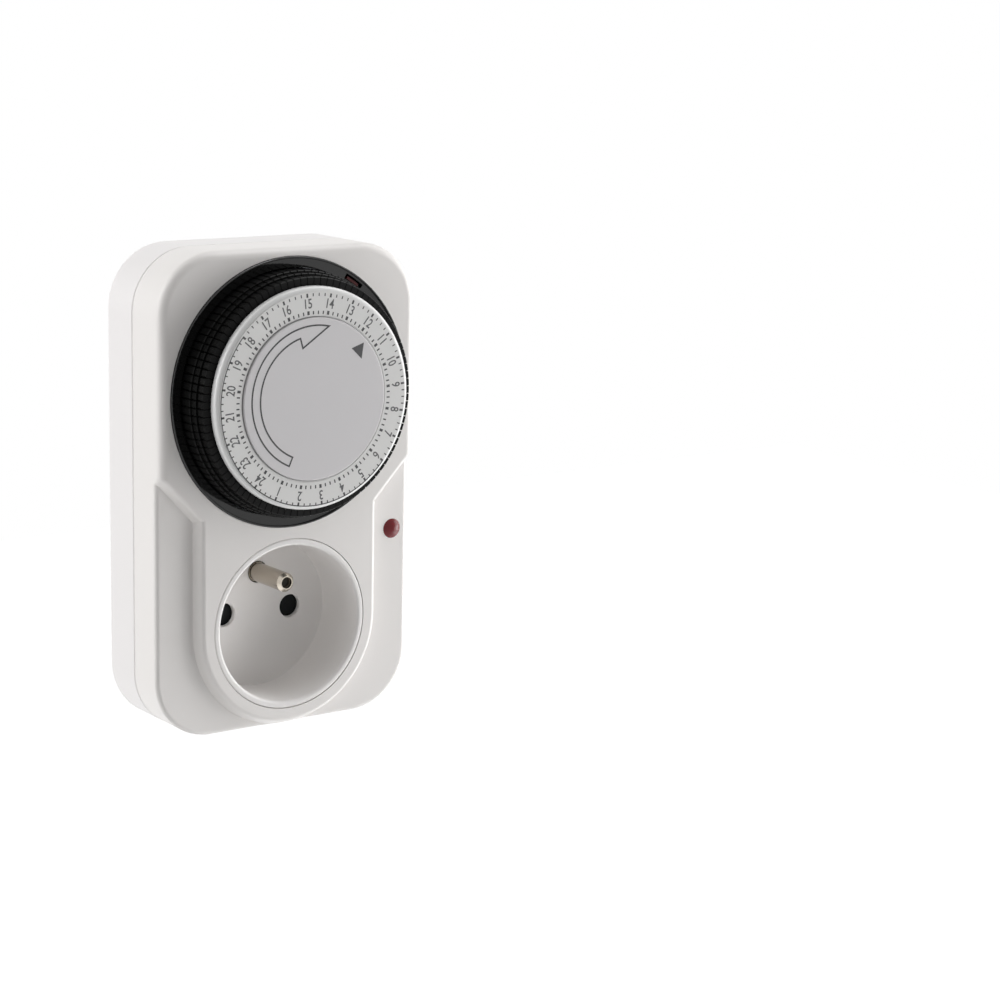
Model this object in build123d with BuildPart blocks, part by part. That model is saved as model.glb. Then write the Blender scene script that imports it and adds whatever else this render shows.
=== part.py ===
from build123d import *
import os
from math import atan2, cos, degrees, hypot, radians, sin, tan

# A plug-in 24 hour timer switch with an earthed socket in its face, in millimetres.
# The origin is the centre of the rear plug face, midway between its two pins.
# +Y points into the wall, +Z is up, and the dial and the socket face -Y.
# "Depth" is a place along Y, so a more negative depth is nearer to the user.

# ---- case ------------------------------------------------------------------------
case_width = 72.0
case_top = 93.0  # top edge above the line of the pins
case_bottom = -26.0  # bottom edge below the line of the pins
case_corner = 15.5
case_depth = 27.0  # raised face to rear face
cover_depth = 13.5  # raised face to the seam between the covers
plug_depth = 16.0  # rear face to plug face
wall = 2.2
front_edge = 2.2  # rounding along the raised face's outer edge
shoulder_edge = 1.1  # rounding along the lower shoulders' outer edge
rear_edge = 2.0
seam_groove = 0.35  # bevel that makes the fine line at the seam
lip_height = 2.0  # rim of the rear cover that enters the front cover
lip_wall = 1.0
lip_gap = 0.1

# ---- raised panel of the front cover ---------------------------------------------
panel_step = 2.75  # raised face above the shoulders
panel_slope = 1.4  # how much wider the panel is at its foot
panel_width = 49.0  # beside the socket
panel_low = 28.4  # height where the panel starts to widen
panel_high = 40.6  # height where it reaches the case's sides
panel_edge = 1.2

# ---- socket ----------------------------------------------------------------------
pin_spacing = 19.0
pin_radius = 2.4
pin_length = 19.0
pin_round = 1.4
pin_root_radius = 2.8  # where a pin passes through its wall
pin_root_setback = 0.1  # root's end below the wall's face
hole_radius = 2.95
earth_rise = 10.0  # earth contact above the line of the pins
recess_radius = 19.7
recess_floor_radius = 19.3
recess_depth = 15.7
insert_radius = 21.4
insert_gap = 0.12
insert_lip = 0.75
insert_floor = 1.5
insert_floor_round = 0.25
hole_chamfer = 0.2
collar_radius = 23.4
collar_thickness = 1.6
earth_pin_proud = 13.9  # above the recess floor
earth_pin_flange_radius = 4.5
earth_pin_flange = 1.0
earth_pin_chamfer = 0.7
earth_pin_dimple_radius = 1.45  # the hollow that turning leaves in the tip
earth_pin_dimple = 1.0

# ---- rear plug -------------------------------------------------------------------
plug_radius = 18.5
plug_wall = 2.2
plug_face_wall = 3.0
plug_edge = 1.2
sleeve_radius = 3.6
sleeve_bore_radius = 2.5
sleeve_bore_depth = 15.0
sleeve_setback = 0.5
sleeve_clearance = 0.1
pin_collar_radius = 3.4
pin_collar = 0.8
pin_tail_radius = 1.6

# ---- dial ------------------------------------------------------------------------
dial_z = 57.7  # dial centre above the line of the pins
disc_proud = 10.35  # hour disc's face in front of the raised face
disc_radius = 27.05
disc_edge = 1.0
disc_thickness = 2.15
disc_web = 1.5  # the part of the hour disc below the centre disc
centre_disc_radius = 19.75
centre_disc_gap = 0.2
centre_disc_thickness = 0.9
centre_disc_proud = 0.55  # in front of the hour disc
centre_disc_edge = 0.25
centre_disc_pip_radius = 1.5
centre_disc_pip = 0.4
label_inner_radius = 20.2
label_outer_radius = 25.9
label_thickness = 0.2
clip_pocket_radius = 7.0
clip_pocket = 0.8
clip_radius = 5.5
clip_thickness = 0.6
clip_play = 0.1
clip_groove_radius = 2.45
clip_mouth = 4.0
midnight_angle = 220.0  # hour 24's place, in degrees clockwise from the top
hours = 24

# ---- programme tappets -----------------------------------------------------------
tappets_per_hour = 4
tappet_groups = 12
tappet_radius = 30.2
tappet_length = 11.5
tappet_travel = 2.5
tappet_gap = 0.2  # tappet's top below the hour disc
grip_steps = ((29.1, 2.6), (29.7, 4.4))  # radius, and how far below the top it ends
grip_round = 0.2
head_inner_radius = 27.25
head_share = 0.9  # of the pitch between two tappets
grip_chamfer = 0.2
neck_inner_radius = 26.2
neck_share = 0.46
shank_inner_radius = 24.8
shank_share = 0.68

# ---- tappet drum -----------------------------------------------------------------
drum_radius = 24.6
drum_wall = 1.4
rib_width = 0.3
rib_cap_inner_radius = 26.4
rib_cap_outer_radius = 27.0
rib_cap_width = 0.75
drum_web = 1.4
hub_radius = 5.5
spindle_radius = 3.0
spindle_clearance = 0.06
spindle_collar_radius = 5.2
spindle_collar_gap = 0.15
spindle_tail_radius = 2.4
foot_clearance = 0.7  # tappets' feet reach this far past the drum's ribs

# ---- ring round the dial ---------------------------------------------------------
bezel_radius = 33.2
bezel_inner_radius = 30.5
bezel_lip = 0.5  # lip's width, and how far it stands above the raised face
bezel_dish = 0.2  # fall of the ring's face from the lip to its inner edge
bezel_seat = 1.6  # depth of the ring's seat in the raised face
bezel_gap = 0.1
seat_radius = 31.6
window_inner_radius = 30.9
window_outer_radius = 32.3
window_half_angle = 5.0
notch_margin = 0.7  # by which the front cover's notch is larger than the window
notch_margin_angle = 1.0

# ---- gear train ------------------------------------------------------------------
module = 0.5
dial_teeth = 96
pinion_teeth = 12
wheel_teeth = 48
motor_teeth = 10
dial_gear_thickness = 1.5
wheel_thickness = 1.2
gear_neck_radius = 9.0
gear_gap = 0.2  # between the dial gear's level and the wheel's
idler_angle = 225.0  # idler's place round the dial, clockwise from the top
motor_angle = 60.0  # motor pinion's place round the idler
idler_axle_radius = 1.0
motor_shaft_radius = 1.0
shaft_clearance = 0.05
fit_gap = 0.02  # round a part that is pressed or moulded in
axle_head_radius = 1.6
axle_head = 0.25

# ---- movement plate and motor ----------------------------------------------------
plate_thickness = 1.6
plate_side_gap = 1.8  # to the case's wall
plate_top_gap = 1.6
plate_collar_gap = 1.4  # to the collar round the socket
plate_post_gap = 0.7  # to the posts of the case's upper screws
plate_corner = 2.5
plate_to_wheel = 1.6
motor_side_gap = 2.3  # to the case's wall
motor_switch_gap = 4.5
motor_z = 58.5
motor_depth = 11.0
motor_wall = 0.8
motor_plate = 1.0
motor_ear_radius = 3.6
motor_ear_run = 2.6  # from the can's wall to an ear's centre
motor_ear_angle = 135.0
motor_shaft_reach = 0.6
lead_block_half_width = 3.5
lead_block_z = 35.5
lead_block_y = -26.0
coil_gap = 1.2  # between the coil and the can's wall
coil_inner_radius = 9.0

# ---- feeler and switch -----------------------------------------------------------
feeler_angle = 34.0
feeler_pivot_angle = 76.0
feeler_radius = 29.2
feeler_gap = 0.3
feeler_thickness = 1.7
feeler_width = 3.0
feeler_hub_radius = 1.75
feeler_nose_half_angle = 3.8
feeler_nose_bevel = 0.9
feeler_pin_radius = 0.7
feeler_tip_inner_gap = 0.3  # to the window's inner and outer edges
feeler_tip_outer_gap = 0.45
feeler_tip_side_gap = 1.6  # in degrees
feeler_tip_below = 0.5  # below the raised face
lug_thickness = 1.4
lug_width = 3.2
lug_gap = 0.3
lug_reach = 1.5  # past the pin's axis
plunger_share = 0.5  # where the plunger stands along the feeler
plunger_radius = 1.5
plunger_gap = 0.2  # to the feeler, and to the moving contact's leaf
plunger_flange_radius = 2.4
plunger_flange = 0.7
plunger_clearance = 0.1
switch_width = 17.0
switch_bottom = 55.5
switch_top = 79.5
switch_depth = 7.5
switch_wall = 1.2
switch_ears = ((-2.4, 21.0), (0.6, -2.3))  # from the base's lower left corner
switch_ear_radius = 2.6
switch_ear = 1.6
leaf_width = 4.5
leaf_thickness = 0.35
leaf_depth = 2.6  # plate to the leaf
leaf_root_z = 58.5
leaf_tip_z = 76.5
contact_z = 75.2
contact_radius = 1.2
contact_height = 0.5
terminal_thickness = 0.6
terminal_gap = 0.15  # to the leaf's root, which flexes
terminal_foot_z = 52.5
terminal_top_z = 60.5
terminal_half_width = 2.5
tag_thickness = 0.8
tag_reach = 1.8
fixed_contact_thickness = 0.8
fixed_strip_width = 3.4
fixed_strip_inset = 2.0  # from the base's right side

# ---- contacts --------------------------------------------------------------------
contact_width = 6.0
contact_thickness = 0.7
contact_grip = 4.9  # between a socket contact's two leaves
contact_gap = 3.0  # insert floor to the contacts' mouths
carrier_thickness = 1.8
carrier_radius = 16.1
carrier_leg_radius = 1.8
carrier_leg_places = ((-7.0, -11.0), (7.0, -11.0), (11.5, 7.5))
contact_tail = 3.5  # of the live contact, below its base
live_tail = 3.1
live_tail_hole_radius = 2.4
sleeve_collar_radius = 4.6
sleeve_end = 2.0
live_wire_y = -5.3

# ---- shutter ---------------------------------------------------------------------
shutter_thickness = 1.0
shutter_half_width = 13.2
shutter_half_height = 3.2
shutter_gap = 0.2
shutter_rail = 1.5
shutter_arm = 2.4
shutter_arm_z = -7.0
rail_z = -14.0
rail_lip = 1.0
rail_lip_top = -4.0
spring_tab_half_width = 2.2
spring_tab_z = -4.4
spring_radius = 1.5
spring_wire_radius = 0.2
spring_turns = 7
spring_seat_z = -16.0
spring_seat = 1.5

# ---- lamp ------------------------------------------------------------------------
lamp_inset = 4.5  # from the case's side
lamp_z = 20.1
lens_radius = 2.5
lens_dome = 0.9
lens_stem_radius = 1.9
lens_length = 2.9
neon_radius = 1.7
neon_length = 5.5
neon_gap = 0.15
neon_round = 1.2
neon_lead_spacing = 1.6
resistor_radius = 1.2
resistor_length = 6.5
resistor_inset = 6.0  # from the case's side
resistor_y = -24.0
resistor_z = 8.0

# ---- screws and posts ------------------------------------------------------------
case_screw_inset = 9.3  # of a case screw from the case's nearest sides
case_post_radius = 3.2
case_screw_radius = 1.4
case_screw_head_radius = 2.6
case_screw_head = 2.0
case_screw_length = 15.0
case_screw_sunk = 0.6
plate_post_radius = 2.7
plate_screw_radius = 1.05
plate_screw_head_radius = 2.2
plate_screw_head = 1.0
plate_screw_length = 7.0
screw_clearance = 0.1
screw_slot = 0.7
screw_slot_depth = 0.6
case_screw_cross = 3.0
plate_screw_side = 3.5  # of a plate screw from the plate's nearest edges
plate_screw_low = 1.8
plate_screw_top = 3.0

# ---- wires -----------------------------------------------------------------------
wire_radius = 0.9
lead_radius = 0.5
wire_bend = 2.6
lead_bend = 1.2
rear_wire_y = -20.1
lead_y = -20.0
lead_out_y = -23.4

# ---- tolerance for picking out edges ---------------------------------------------
near = 0.01

# ---- depths, from the user to the wall -------------------------------------------
rear_y = -plug_depth
face_y = rear_y - case_depth
shoulder_y = face_y + panel_step
seam_y = face_y + cover_depth
rear_inner_y = rear_y - wall
shoulder_inner_y = shoulder_y + wall
panel_inner_y = face_y + wall
plug_inner_y = -plug_face_wall
bezel_seat_y = face_y + bezel_seat
bezel_lip_y = face_y - bezel_lip
case_screw_seat_y = rear_y - case_screw_sunk - case_screw_head
case_screw_tip_y = case_screw_seat_y - case_screw_length

disc_y = face_y - disc_proud
disc_back_y = disc_y + disc_thickness
disc_web_y = disc_back_y - disc_web
centre_disc_y = disc_y - centre_disc_proud
centre_disc_back_y = centre_disc_y + centre_disc_thickness
clip_seat_y = disc_web_y + clip_pocket
clip_back_y = clip_seat_y - clip_play
clip_y = clip_back_y - clip_thickness

tappet_top_y = disc_back_y + tappet_gap
tappet_foot_y = tappet_top_y + tappet_length
pressed_foot_y = tappet_foot_y + tappet_travel
rib_foot_y = tappet_foot_y - foot_clearance
drum_back_y = rib_foot_y + drum_web

dial_gear_y = pressed_foot_y + 0.6
dial_gear_back_y = dial_gear_y + dial_gear_thickness
wheel_y = dial_gear_back_y + gear_gap
wheel_back_y = wheel_y + wheel_thickness
plate_y = wheel_back_y + plate_to_wheel
plate_back_y = plate_y + plate_thickness
motor_back_y = plate_back_y + motor_depth

feeler_y = pressed_foot_y + feeler_gap
feeler_back_y = feeler_y + feeler_thickness
feeler_nose_y = tappet_foot_y + feeler_gap
feeler_pin_y = feeler_y + feeler_hub_radius + near
feeler_tip_y = face_y + feeler_tip_below
leaf_y = plate_back_y + leaf_depth
leaf_back_y = leaf_y + leaf_thickness
switch_back_y = plate_back_y + switch_depth
switch_floor_y = switch_back_y - switch_wall
terminal_y = leaf_back_y + terminal_gap
fixed_contact_y = switch_floor_y - fixed_contact_thickness

collar_y = shoulder_inner_y
floor_y = face_y + recess_depth
floor_back_y = floor_y + insert_floor
shutter_y = floor_back_y + shutter_gap
shutter_back_y = shutter_y + shutter_thickness
spring_y = shutter_y + spring_radius + spring_wire_radius
spring_back_y = spring_y + spring_radius + spring_wire_radius
contact_mouth_y = floor_back_y + contact_gap
contact_base_y = floor_y + pin_length + 0.8
carrier_y = contact_base_y
carrier_back_y = carrier_y + carrier_thickness

# ---- places worked out from the dimensions ---------------------------------------
case_middle_z = (case_top + case_bottom) / 2
case_height = case_top - case_bottom
pin_x = pin_spacing / 2
case_screw_places = [
    (side * (case_width / 2 - case_screw_inset), z)
    for side in (-1, 1)
    for z in (case_bottom + case_screw_inset, case_top - case_screw_inset)
]
lamp_x = case_width / 2 - lamp_inset
lamp_place = (lamp_x, lamp_z)
resistor_x = case_width / 2 - resistor_inset
case_inner_half_width = case_width / 2 - wall
case_post_side = case_screw_inset + case_post_radius + plate_post_gap
plate_half_width = case_inner_half_width - plate_side_gap
plate_neck_half_width = case_width / 2 - case_post_side
plate_neck_z = case_top - case_post_side
plate_top = case_top - wall - plate_top_gap
plate_bottom = collar_radius + plate_collar_gap
plate_post_places = (
    (plate_screw_side - plate_half_width, plate_bottom + plate_screw_low),
    (plate_half_width - plate_screw_side, plate_bottom + plate_screw_low),
    (0.0, plate_top - plate_screw_top),
)
switch_right = plate_half_width
switch_left = switch_right - switch_width
switch_ear_places = [(switch_left + x, switch_bottom + z) for x, z in switch_ears]
fixed_strip_right = switch_right - fixed_strip_inset
fixed_strip_left = fixed_strip_right - fixed_strip_width
motor_left = motor_side_gap - case_inner_half_width
motor_right = switch_left - motor_switch_gap
motor_x = (motor_left + motor_right) / 2
motor_radius = (motor_right - motor_left) / 2
motor_ear_reach = motor_radius + motor_ear_run
coil_outer_radius = motor_radius - motor_wall - coil_gap
feeler_tip_inner_radius = window_inner_radius + feeler_tip_inner_gap
feeler_tip_outer_radius = window_outer_radius - feeler_tip_outer_gap
feeler_tip_half_angle = window_half_angle - feeler_tip_side_gap
dial_axis = Axis((0, 0, dial_z), (0, 1, 0))
tappet_count = hours * tappets_per_hour
tappet_pitch = 360 / tappet_count


def round_place(centre, radius, clockwise):
    """The X and Z of a point at a radius from a centre, at an angle clockwise from the top."""
    turn = radians(clockwise)
    return (centre[0] + radius * sin(turn), centre[1] + radius * cos(turn))


dial_place = (0, dial_z)
idler_place = round_place(dial_place, module * (dial_teeth + pinion_teeth) / 2, idler_angle)
motor_place = round_place(idler_place, module * (wheel_teeth + motor_teeth) / 2, motor_angle)
nose_place = round_place(dial_place, feeler_radius, feeler_angle)
pivot_place = round_place(dial_place, feeler_radius, feeler_pivot_angle)
feeler_run = (pivot_place[0] - nose_place[0], pivot_place[1] - nose_place[1])
feeler_length = hypot(*feeler_run)
feeler_turn = degrees(atan2(feeler_run[1], feeler_run[0]))
plunger_place = (
    pivot_place[0] - plunger_share * feeler_run[0],
    pivot_place[1] - plunger_share * feeler_run[1],
)


# ---- helpers ---------------------------------------------------------------------
def at(depth):
    """A sketch plane across the timer: sketch x is +X, sketch y is +Z, and it faces the user."""
    return Plane(origin=(0, depth, 0), x_dir=(1, 0, 0), z_dir=(0, -1, 0))


def from_side(x):
    """A sketch plane at a place along X: sketch x is +Y and sketch y is +Z."""
    return Plane(origin=(x, 0, 0), x_dir=(0, 1, 0), z_dir=(1, 0, 0))


def through_dial(clockwise):
    """A plane through the dial's axis: sketch x is the radius and sketch y is the depth."""
    turn = radians(clockwise)
    return Plane(
        origin=(0, 0, dial_z), x_dir=(sin(turn), 0, cos(turn)), z_dir=(-cos(turn), 0, sin(turn))
    )


def round_bar(place, radius, front, back, bore=0.0, mode=Mode.ADD):
    """A disc, bar or ring along Y between two depths."""
    with BuildSketch(at(back)) as section:
        with Locations(place):
            Circle(radius)
            if bore > 0:
                Circle(bore, mode=Mode.SUBTRACT)
    extrude(section.sketch, amount=back - front, mode=mode)


def block(left, right, bottom, top, front, back, mode=Mode.ADD):
    """A box between two places along X, along Z and along Y."""
    with BuildSketch(at(back)) as section:
        with Locations(((left + right) / 2, (bottom + top) / 2)):
            Rectangle(right - left, top - bottom)
    extrude(section.sketch, amount=back - front, mode=mode)


def case_block(front, back, inset=0.0, mode=Mode.ADD):
    """The case's rounded outline, drawn in by an inset, between two depths."""
    with BuildSketch(at(back)) as outline:
        with Locations((0, case_middle_z)):
            RectangleRounded(case_width - 2 * inset, case_height - 2 * inset, case_corner - inset)
    extrude(outline.sketch, amount=back - front, mode=mode)


def panel_outline(spread):
    """The raised panel's outline: straight beside the socket, round below it, wide above it."""
    half = panel_width / 2 + spread
    beyond = case_width
    rise = (panel_high - panel_low) / (case_width / 2 - panel_width / 2)
    drop = spread * (hypot(1, rise) - rise)
    low = panel_low - drop
    high = low + rise * (beyond - half)
    with BuildLine() as edge:
        Polyline((-half, 0), (-half, low), (-beyond, high), (-beyond, case_top + beyond))
        Line((-beyond, case_top + beyond), (beyond, case_top + beyond))
        Polyline((beyond, case_top + beyond), (beyond, high), (half, low), (half, 0))
        ThreePointArc((half, 0), (0, -half), (-half, 0))
    make_face(edge.edges())


def sector(clockwise, half_angle, profile, mode=Mode.ADD):
    """A (radius, depth) profile turned about the dial's axis, half_angle to either side."""
    with BuildSketch(through_dial(clockwise - half_angle)) as section:
        with BuildLine() as edge:
            Polyline(*profile, close=True)
        make_face(edge.edges())
    revolve(section.sketch, axis=dial_axis, revolution_arc=2 * half_angle, mode=mode)


feeler_pin_plane = Plane(
    origin=(pivot_place[0], feeler_pin_y, pivot_place[1]),
    x_dir=(0, 1, 0),
    z_dir=(-feeler_run[1] / feeler_length, 0, feeler_run[0] / feeler_length),
)


def gear_outline(teeth, place, tooth_at):
    """A gear's outline, with short straight-flanked teeth and one tooth at an angle from +X."""
    pitch_radius = module * teeth / 2
    tip = pitch_radius + 0.7 * module
    root = pitch_radius - 1.05 * module
    at_pitch = 90 / teeth * 0.88
    at_tip = degrees(radians(at_pitch) * pitch_radius - 0.7 * module * tan(radians(22))) / tip
    at_root = degrees(radians(at_pitch) * pitch_radius + 0.8 * module * tan(radians(18))) / root
    corners = []
    for tooth in range(teeth):
        middle = tooth_at + 360 * tooth / teeth
        for turn, radius in ((-at_root, root), (-at_tip, tip), (at_tip, tip), (at_root, root)):
            angle = radians(middle + turn)
            corners.append((place[0] + radius * cos(angle), place[1] + radius * sin(angle)))
    with BuildLine() as edge:
        Polyline(*corners, close=True)
    make_face(edge.edges())


def gear(teeth, place, tooth_at, front, back, bore):
    """A spur gear between two depths."""
    with BuildSketch(at(back)) as section:
        gear_outline(teeth, place, tooth_at)
        with Locations(place):
            Circle(bore, mode=Mode.SUBTRACT)
    extrude(section.sketch, amount=back - front)


def wire_along(points, radius, bend=wire_bend):
    """A round wire along a route of straight runs and tangent arcs."""
    with BuildLine() as route:
        FilletPolyline(*points, radius=bend)
    with BuildSketch(Plane(origin=route.line @ 0, z_dir=route.line % 0)) as section:
        Circle(radius)
    sweep(section.sketch, path=route.line)


# ---- front cover -----------------------------------------------------------------
# A moulded shell: the shoulders' level over the whole outline, the raised panel on it.
panel_taper = degrees(atan2(panel_slope, panel_step))


def at_level(edges, depth):
    """The edges whose middle lies at one depth."""
    return edges.filter_by_position(Axis.Y, depth - near, depth + near)


def on_outline(edge):
    """Whether the middle of an edge lies on the case's rounded outline."""
    middle = edge @ 0.5
    beyond_x = max(abs(middle.X) - case_width / 2 + case_corner, 0)
    beyond_z = max(abs(middle.Z - case_middle_z) - case_height / 2 + case_corner, 0)
    return abs(hypot(beyond_x, beyond_z) - case_corner) < near


def on_panel_side(edge):
    """Whether an edge of the raised face runs beside or below the socket, inside the outline."""
    middle = edge @ 0.5
    return abs(middle.X) < case_width / 2 - front_edge - near and middle.Z < panel_high


with BuildPart() as front_cover:
    case_block(shoulder_y, seam_y)
    with BuildSketch(at(shoulder_y)) as panel_foot:
        panel_outline(panel_slope)
    extrude(panel_foot.sketch, amount=panel_step, taper=panel_taper)
    case_block(face_y, seam_y, mode=Mode.INTERSECT)
    fillet(at_level(front_cover.edges(), face_y).filter_by(on_outline), front_edge)
    fillet(at_level(front_cover.edges(), shoulder_y).filter_by(on_outline), shoulder_edge)
    fillet(at_level(front_cover.edges(), face_y).filter_by(on_panel_side), panel_edge)
    chamfer(at_level(front_cover.edges(), seam_y), seam_groove)
    # the hollow, which is deeper under the dial
    case_block(shoulder_inner_y, seam_y, inset=wall, mode=Mode.SUBTRACT)
    with BuildSketch(at(shoulder_inner_y)) as dial_hollow:
        with Locations((0, case_top - wall)):
            Rectangle(
                case_width - 2 * wall, case_top - wall - panel_high, align=(Align.CENTER, Align.MAX)
            )
        with Locations((0, case_middle_z)):
            RectangleRounded(
                case_width - 2 * wall,
                case_height - 2 * wall,
                case_corner - wall,
                mode=Mode.INTERSECT,
            )
    extrude(dial_hollow.sketch, amount=shoulder_inner_y - face_y - wall, mode=Mode.SUBTRACT)
    # posts that the case screws enter
    for place in case_screw_places:
        post_y = panel_inner_y if place[1] > panel_high else shoulder_inner_y
        round_bar(place, case_post_radius, post_y - wall / 2, seam_y)
        round_bar(
            place,
            case_screw_radius + screw_clearance,
            case_screw_tip_y - screw_clearance,
            seam_y,
            mode=Mode.SUBTRACT,
        )
    # the dial's opening, with the seat of the ring round it and a notch for the feeler's tip
    round_bar(dial_place, seat_radius, face_y, seam_y, mode=Mode.SUBTRACT)
    round_bar(dial_place, bezel_radius + bezel_gap, face_y, bezel_seat_y, mode=Mode.SUBTRACT)
    sector(
        feeler_angle,
        window_half_angle + notch_margin_angle,
        (
            (window_inner_radius, bezel_seat_y),
            (window_outer_radius + notch_margin, bezel_seat_y),
            (window_outer_radius + notch_margin, seam_y),
            (window_inner_radius, seam_y),
        ),
        mode=Mode.SUBTRACT,
    )
    # the openings for the socket and the lamp
    round_bar((0, 0), insert_radius + insert_gap, face_y, seam_y, mode=Mode.SUBTRACT)
    round_bar(lamp_place, lens_stem_radius + screw_clearance, face_y, seam_y, mode=Mode.SUBTRACT)
front_cover.part.label = "front_cover"

# ---- rear cover ------------------------------------------------------------------
# A moulded shell with the plug's boss, the posts for the screws and for the movement plate.
with BuildPart() as rear_cover:
    case_block(seam_y, rear_y)
    fillet(at_level(rear_cover.edges(), rear_y), rear_edge)
    chamfer(at_level(rear_cover.edges(), seam_y), seam_groove)
    round_bar((0, 0), plug_radius, rear_y - wall, 0)
    fillet(at_level(rear_cover.edges(), 0), plug_edge)
    case_block(seam_y, rear_inner_y, inset=wall, mode=Mode.SUBTRACT)
    # the rim that enters the front cover
    case_block(seam_y - lip_height, seam_y + lip_height, inset=wall + lip_gap)
    case_block(seam_y, seam_y + lip_height, inset=wall / 2)
    case_block(
        seam_y - lip_height,
        seam_y + lip_height,
        inset=wall + lip_gap + lip_wall,
        mode=Mode.SUBTRACT,
    )
    for place in case_screw_places:
        round_bar(place, case_post_radius, seam_y, rear_inner_y)
    for place in plate_post_places:
        round_bar(place, plate_post_radius, plate_back_y, rear_inner_y)
        round_bar(
            place,
            plate_screw_radius + screw_clearance,
            plate_back_y,
            plate_y + plate_screw_length + screw_clearance,
            mode=Mode.SUBTRACT,
        )
    for place in case_screw_places:
        round_bar(place, case_screw_radius + 2 * screw_clearance, seam_y, rear_y, mode=Mode.SUBTRACT)
        round_bar(
            place,
            case_screw_head_radius + 2 * screw_clearance,
            case_screw_seat_y,
            rear_y,
            mode=Mode.SUBTRACT,
        )
    # the hollow of the boss, and the holes in its face
    round_bar((0, 0), plug_radius - plug_wall, seam_y, plug_inner_y, mode=Mode.SUBTRACT)
    for side in (-1, 1):
        round_bar((side * pin_x, 0), pin_root_radius + fit_gap, plug_inner_y, 0, mode=Mode.SUBTRACT)
    round_bar(
        (0, earth_rise), sleeve_radius + sleeve_clearance, plug_inner_y, 0, mode=Mode.SUBTRACT
    )
rear_cover.part.label = "rear_cover"

# ---- socket insert ---------------------------------------------------------------
# A cup held behind the front cover by its collar, with rails for the shutter on its back.
with BuildPart() as socket_insert:
    with BuildSketch(Plane.XY) as cup_profile:
        with BuildLine():
            Polyline(
                (0, floor_y),
                (recess_floor_radius, floor_y),
                (recess_radius, face_y),
                (insert_radius, face_y),
                (insert_radius, collar_y),
                (collar_radius, collar_y),
                (collar_radius, collar_y + collar_thickness),
                (insert_radius, collar_y + collar_thickness),
                (insert_radius, floor_back_y),
                (0, floor_back_y),
                close=True,
            )
        make_face()
    revolve(axis=Axis.Y)
    rim = at_level(socket_insert.edges(), face_y).sort_by(SortBy.LENGTH)
    fillet(rim[0], insert_lip)
    fillet(at_level(socket_insert.edges(), face_y).sort_by(SortBy.LENGTH)[-1], insert_lip / 2)
    fillet(at_level(socket_insert.edges(), floor_y), insert_floor_round)
    for side in (-1, 1):
        round_bar((side * pin_x, 0), hole_radius, floor_y, floor_back_y, mode=Mode.SUBTRACT)
        mouth = at_level(socket_insert.edges(), floor_y).filter_by(GeomType.CIRCLE)
        chamfer(mouth.sort_by_distance((side * pin_x, floor_y, 0))[0], hole_chamfer)
        rail_inner = side * (shutter_half_width + shutter_gap)
        rail_outer = rail_inner + side * shutter_rail
        rail_lip_x = rail_inner - side * rail_lip
        block(
            min(rail_inner, rail_outer),
            max(rail_inner, rail_outer),
            rail_z,
            shutter_half_height,
            floor_back_y - insert_floor / 2,
            shutter_back_y + shutter_gap,
        )
        block(
            min(rail_lip_x, rail_outer),
            max(rail_lip_x, rail_outer),
            rail_z,
            rail_lip_top,
            shutter_back_y + shutter_gap,
            shutter_back_y + shutter_gap + rail_lip,
        )
    block(
        -spring_tab_half_width,
        spring_tab_half_width,
        spring_seat_z - spring_seat,
        spring_seat_z,
        floor_back_y - insert_floor / 2,
        spring_back_y,
    )
    round_bar(
        (0, earth_rise), pin_root_radius + fit_gap, floor_y, floor_back_y, mode=Mode.SUBTRACT
    )
socket_insert.part.label = "socket_insert"

# ---- ring round the dial ---------------------------------------------------------
# A glossy dished ring with a thin raised lip, and a window over the feeler's tip.
with BuildPart() as dial_bezel:
    with BuildSketch(through_dial(0)) as ring_profile:
        with BuildLine():
            Polyline(
                (bezel_inner_radius, bezel_seat_y),
                (bezel_inner_radius, face_y + bezel_dish),
                (bezel_radius - bezel_lip, face_y),
                (bezel_radius - bezel_lip, bezel_lip_y),
                (bezel_radius, bezel_lip_y),
                (bezel_radius, bezel_seat_y),
                close=True,
            )
        make_face()
    revolve(axis=dial_axis)
    fillet(at_level(dial_bezel.edges(), bezel_lip_y), bezel_lip / 3)
    sector(
        feeler_angle,
        window_half_angle,
        (
            (window_inner_radius, bezel_seat_y),
            (window_inner_radius, bezel_lip_y),
            (window_outer_radius, bezel_lip_y),
            (window_outer_radius, bezel_seat_y),
        ),
        mode=Mode.SUBTRACT,
    )
dial_bezel.part.label = "dial_bezel"

# ---- hour disc and its printed scale ---------------------------------------------
with BuildPart() as hour_disc:
    round_bar(dial_place, disc_radius, disc_y, disc_back_y, bore=spindle_radius + spindle_clearance)
    rim_edge = at_level(hour_disc.edges(), disc_y).sort_by(SortBy.LENGTH)[-1]
    fillet(rim_edge, disc_edge)
    round_bar(
        dial_place,
        centre_disc_radius + centre_disc_gap,
        disc_y,
        disc_web_y,
        mode=Mode.SUBTRACT,
    )
    round_bar(dial_place, clip_pocket_radius, disc_web_y, clip_seat_y, mode=Mode.SUBTRACT)
hour_disc.part.label = "hour_disc"

with BuildPart() as scale_label:
    round_bar(
        dial_place,
        label_outer_radius,
        disc_y - label_thickness,
        disc_y,
        bore=label_inner_radius,
    )
scale_label.part.label = "scale_label"

# ---- centre disc, spindle and clip, which stay still while the dial turns ---------
with BuildPart() as centre_disc:
    round_bar(dial_place, centre_disc_radius, centre_disc_y, centre_disc_back_y)
    fillet(at_level(centre_disc.edges(), centre_disc_y), centre_disc_edge)
    round_bar(
        dial_place,
        centre_disc_pip_radius + fit_gap,
        centre_disc_back_y - centre_disc_pip,
        centre_disc_back_y,
        mode=Mode.SUBTRACT,
    )
centre_disc.part.label = "centre_disc"

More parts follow.
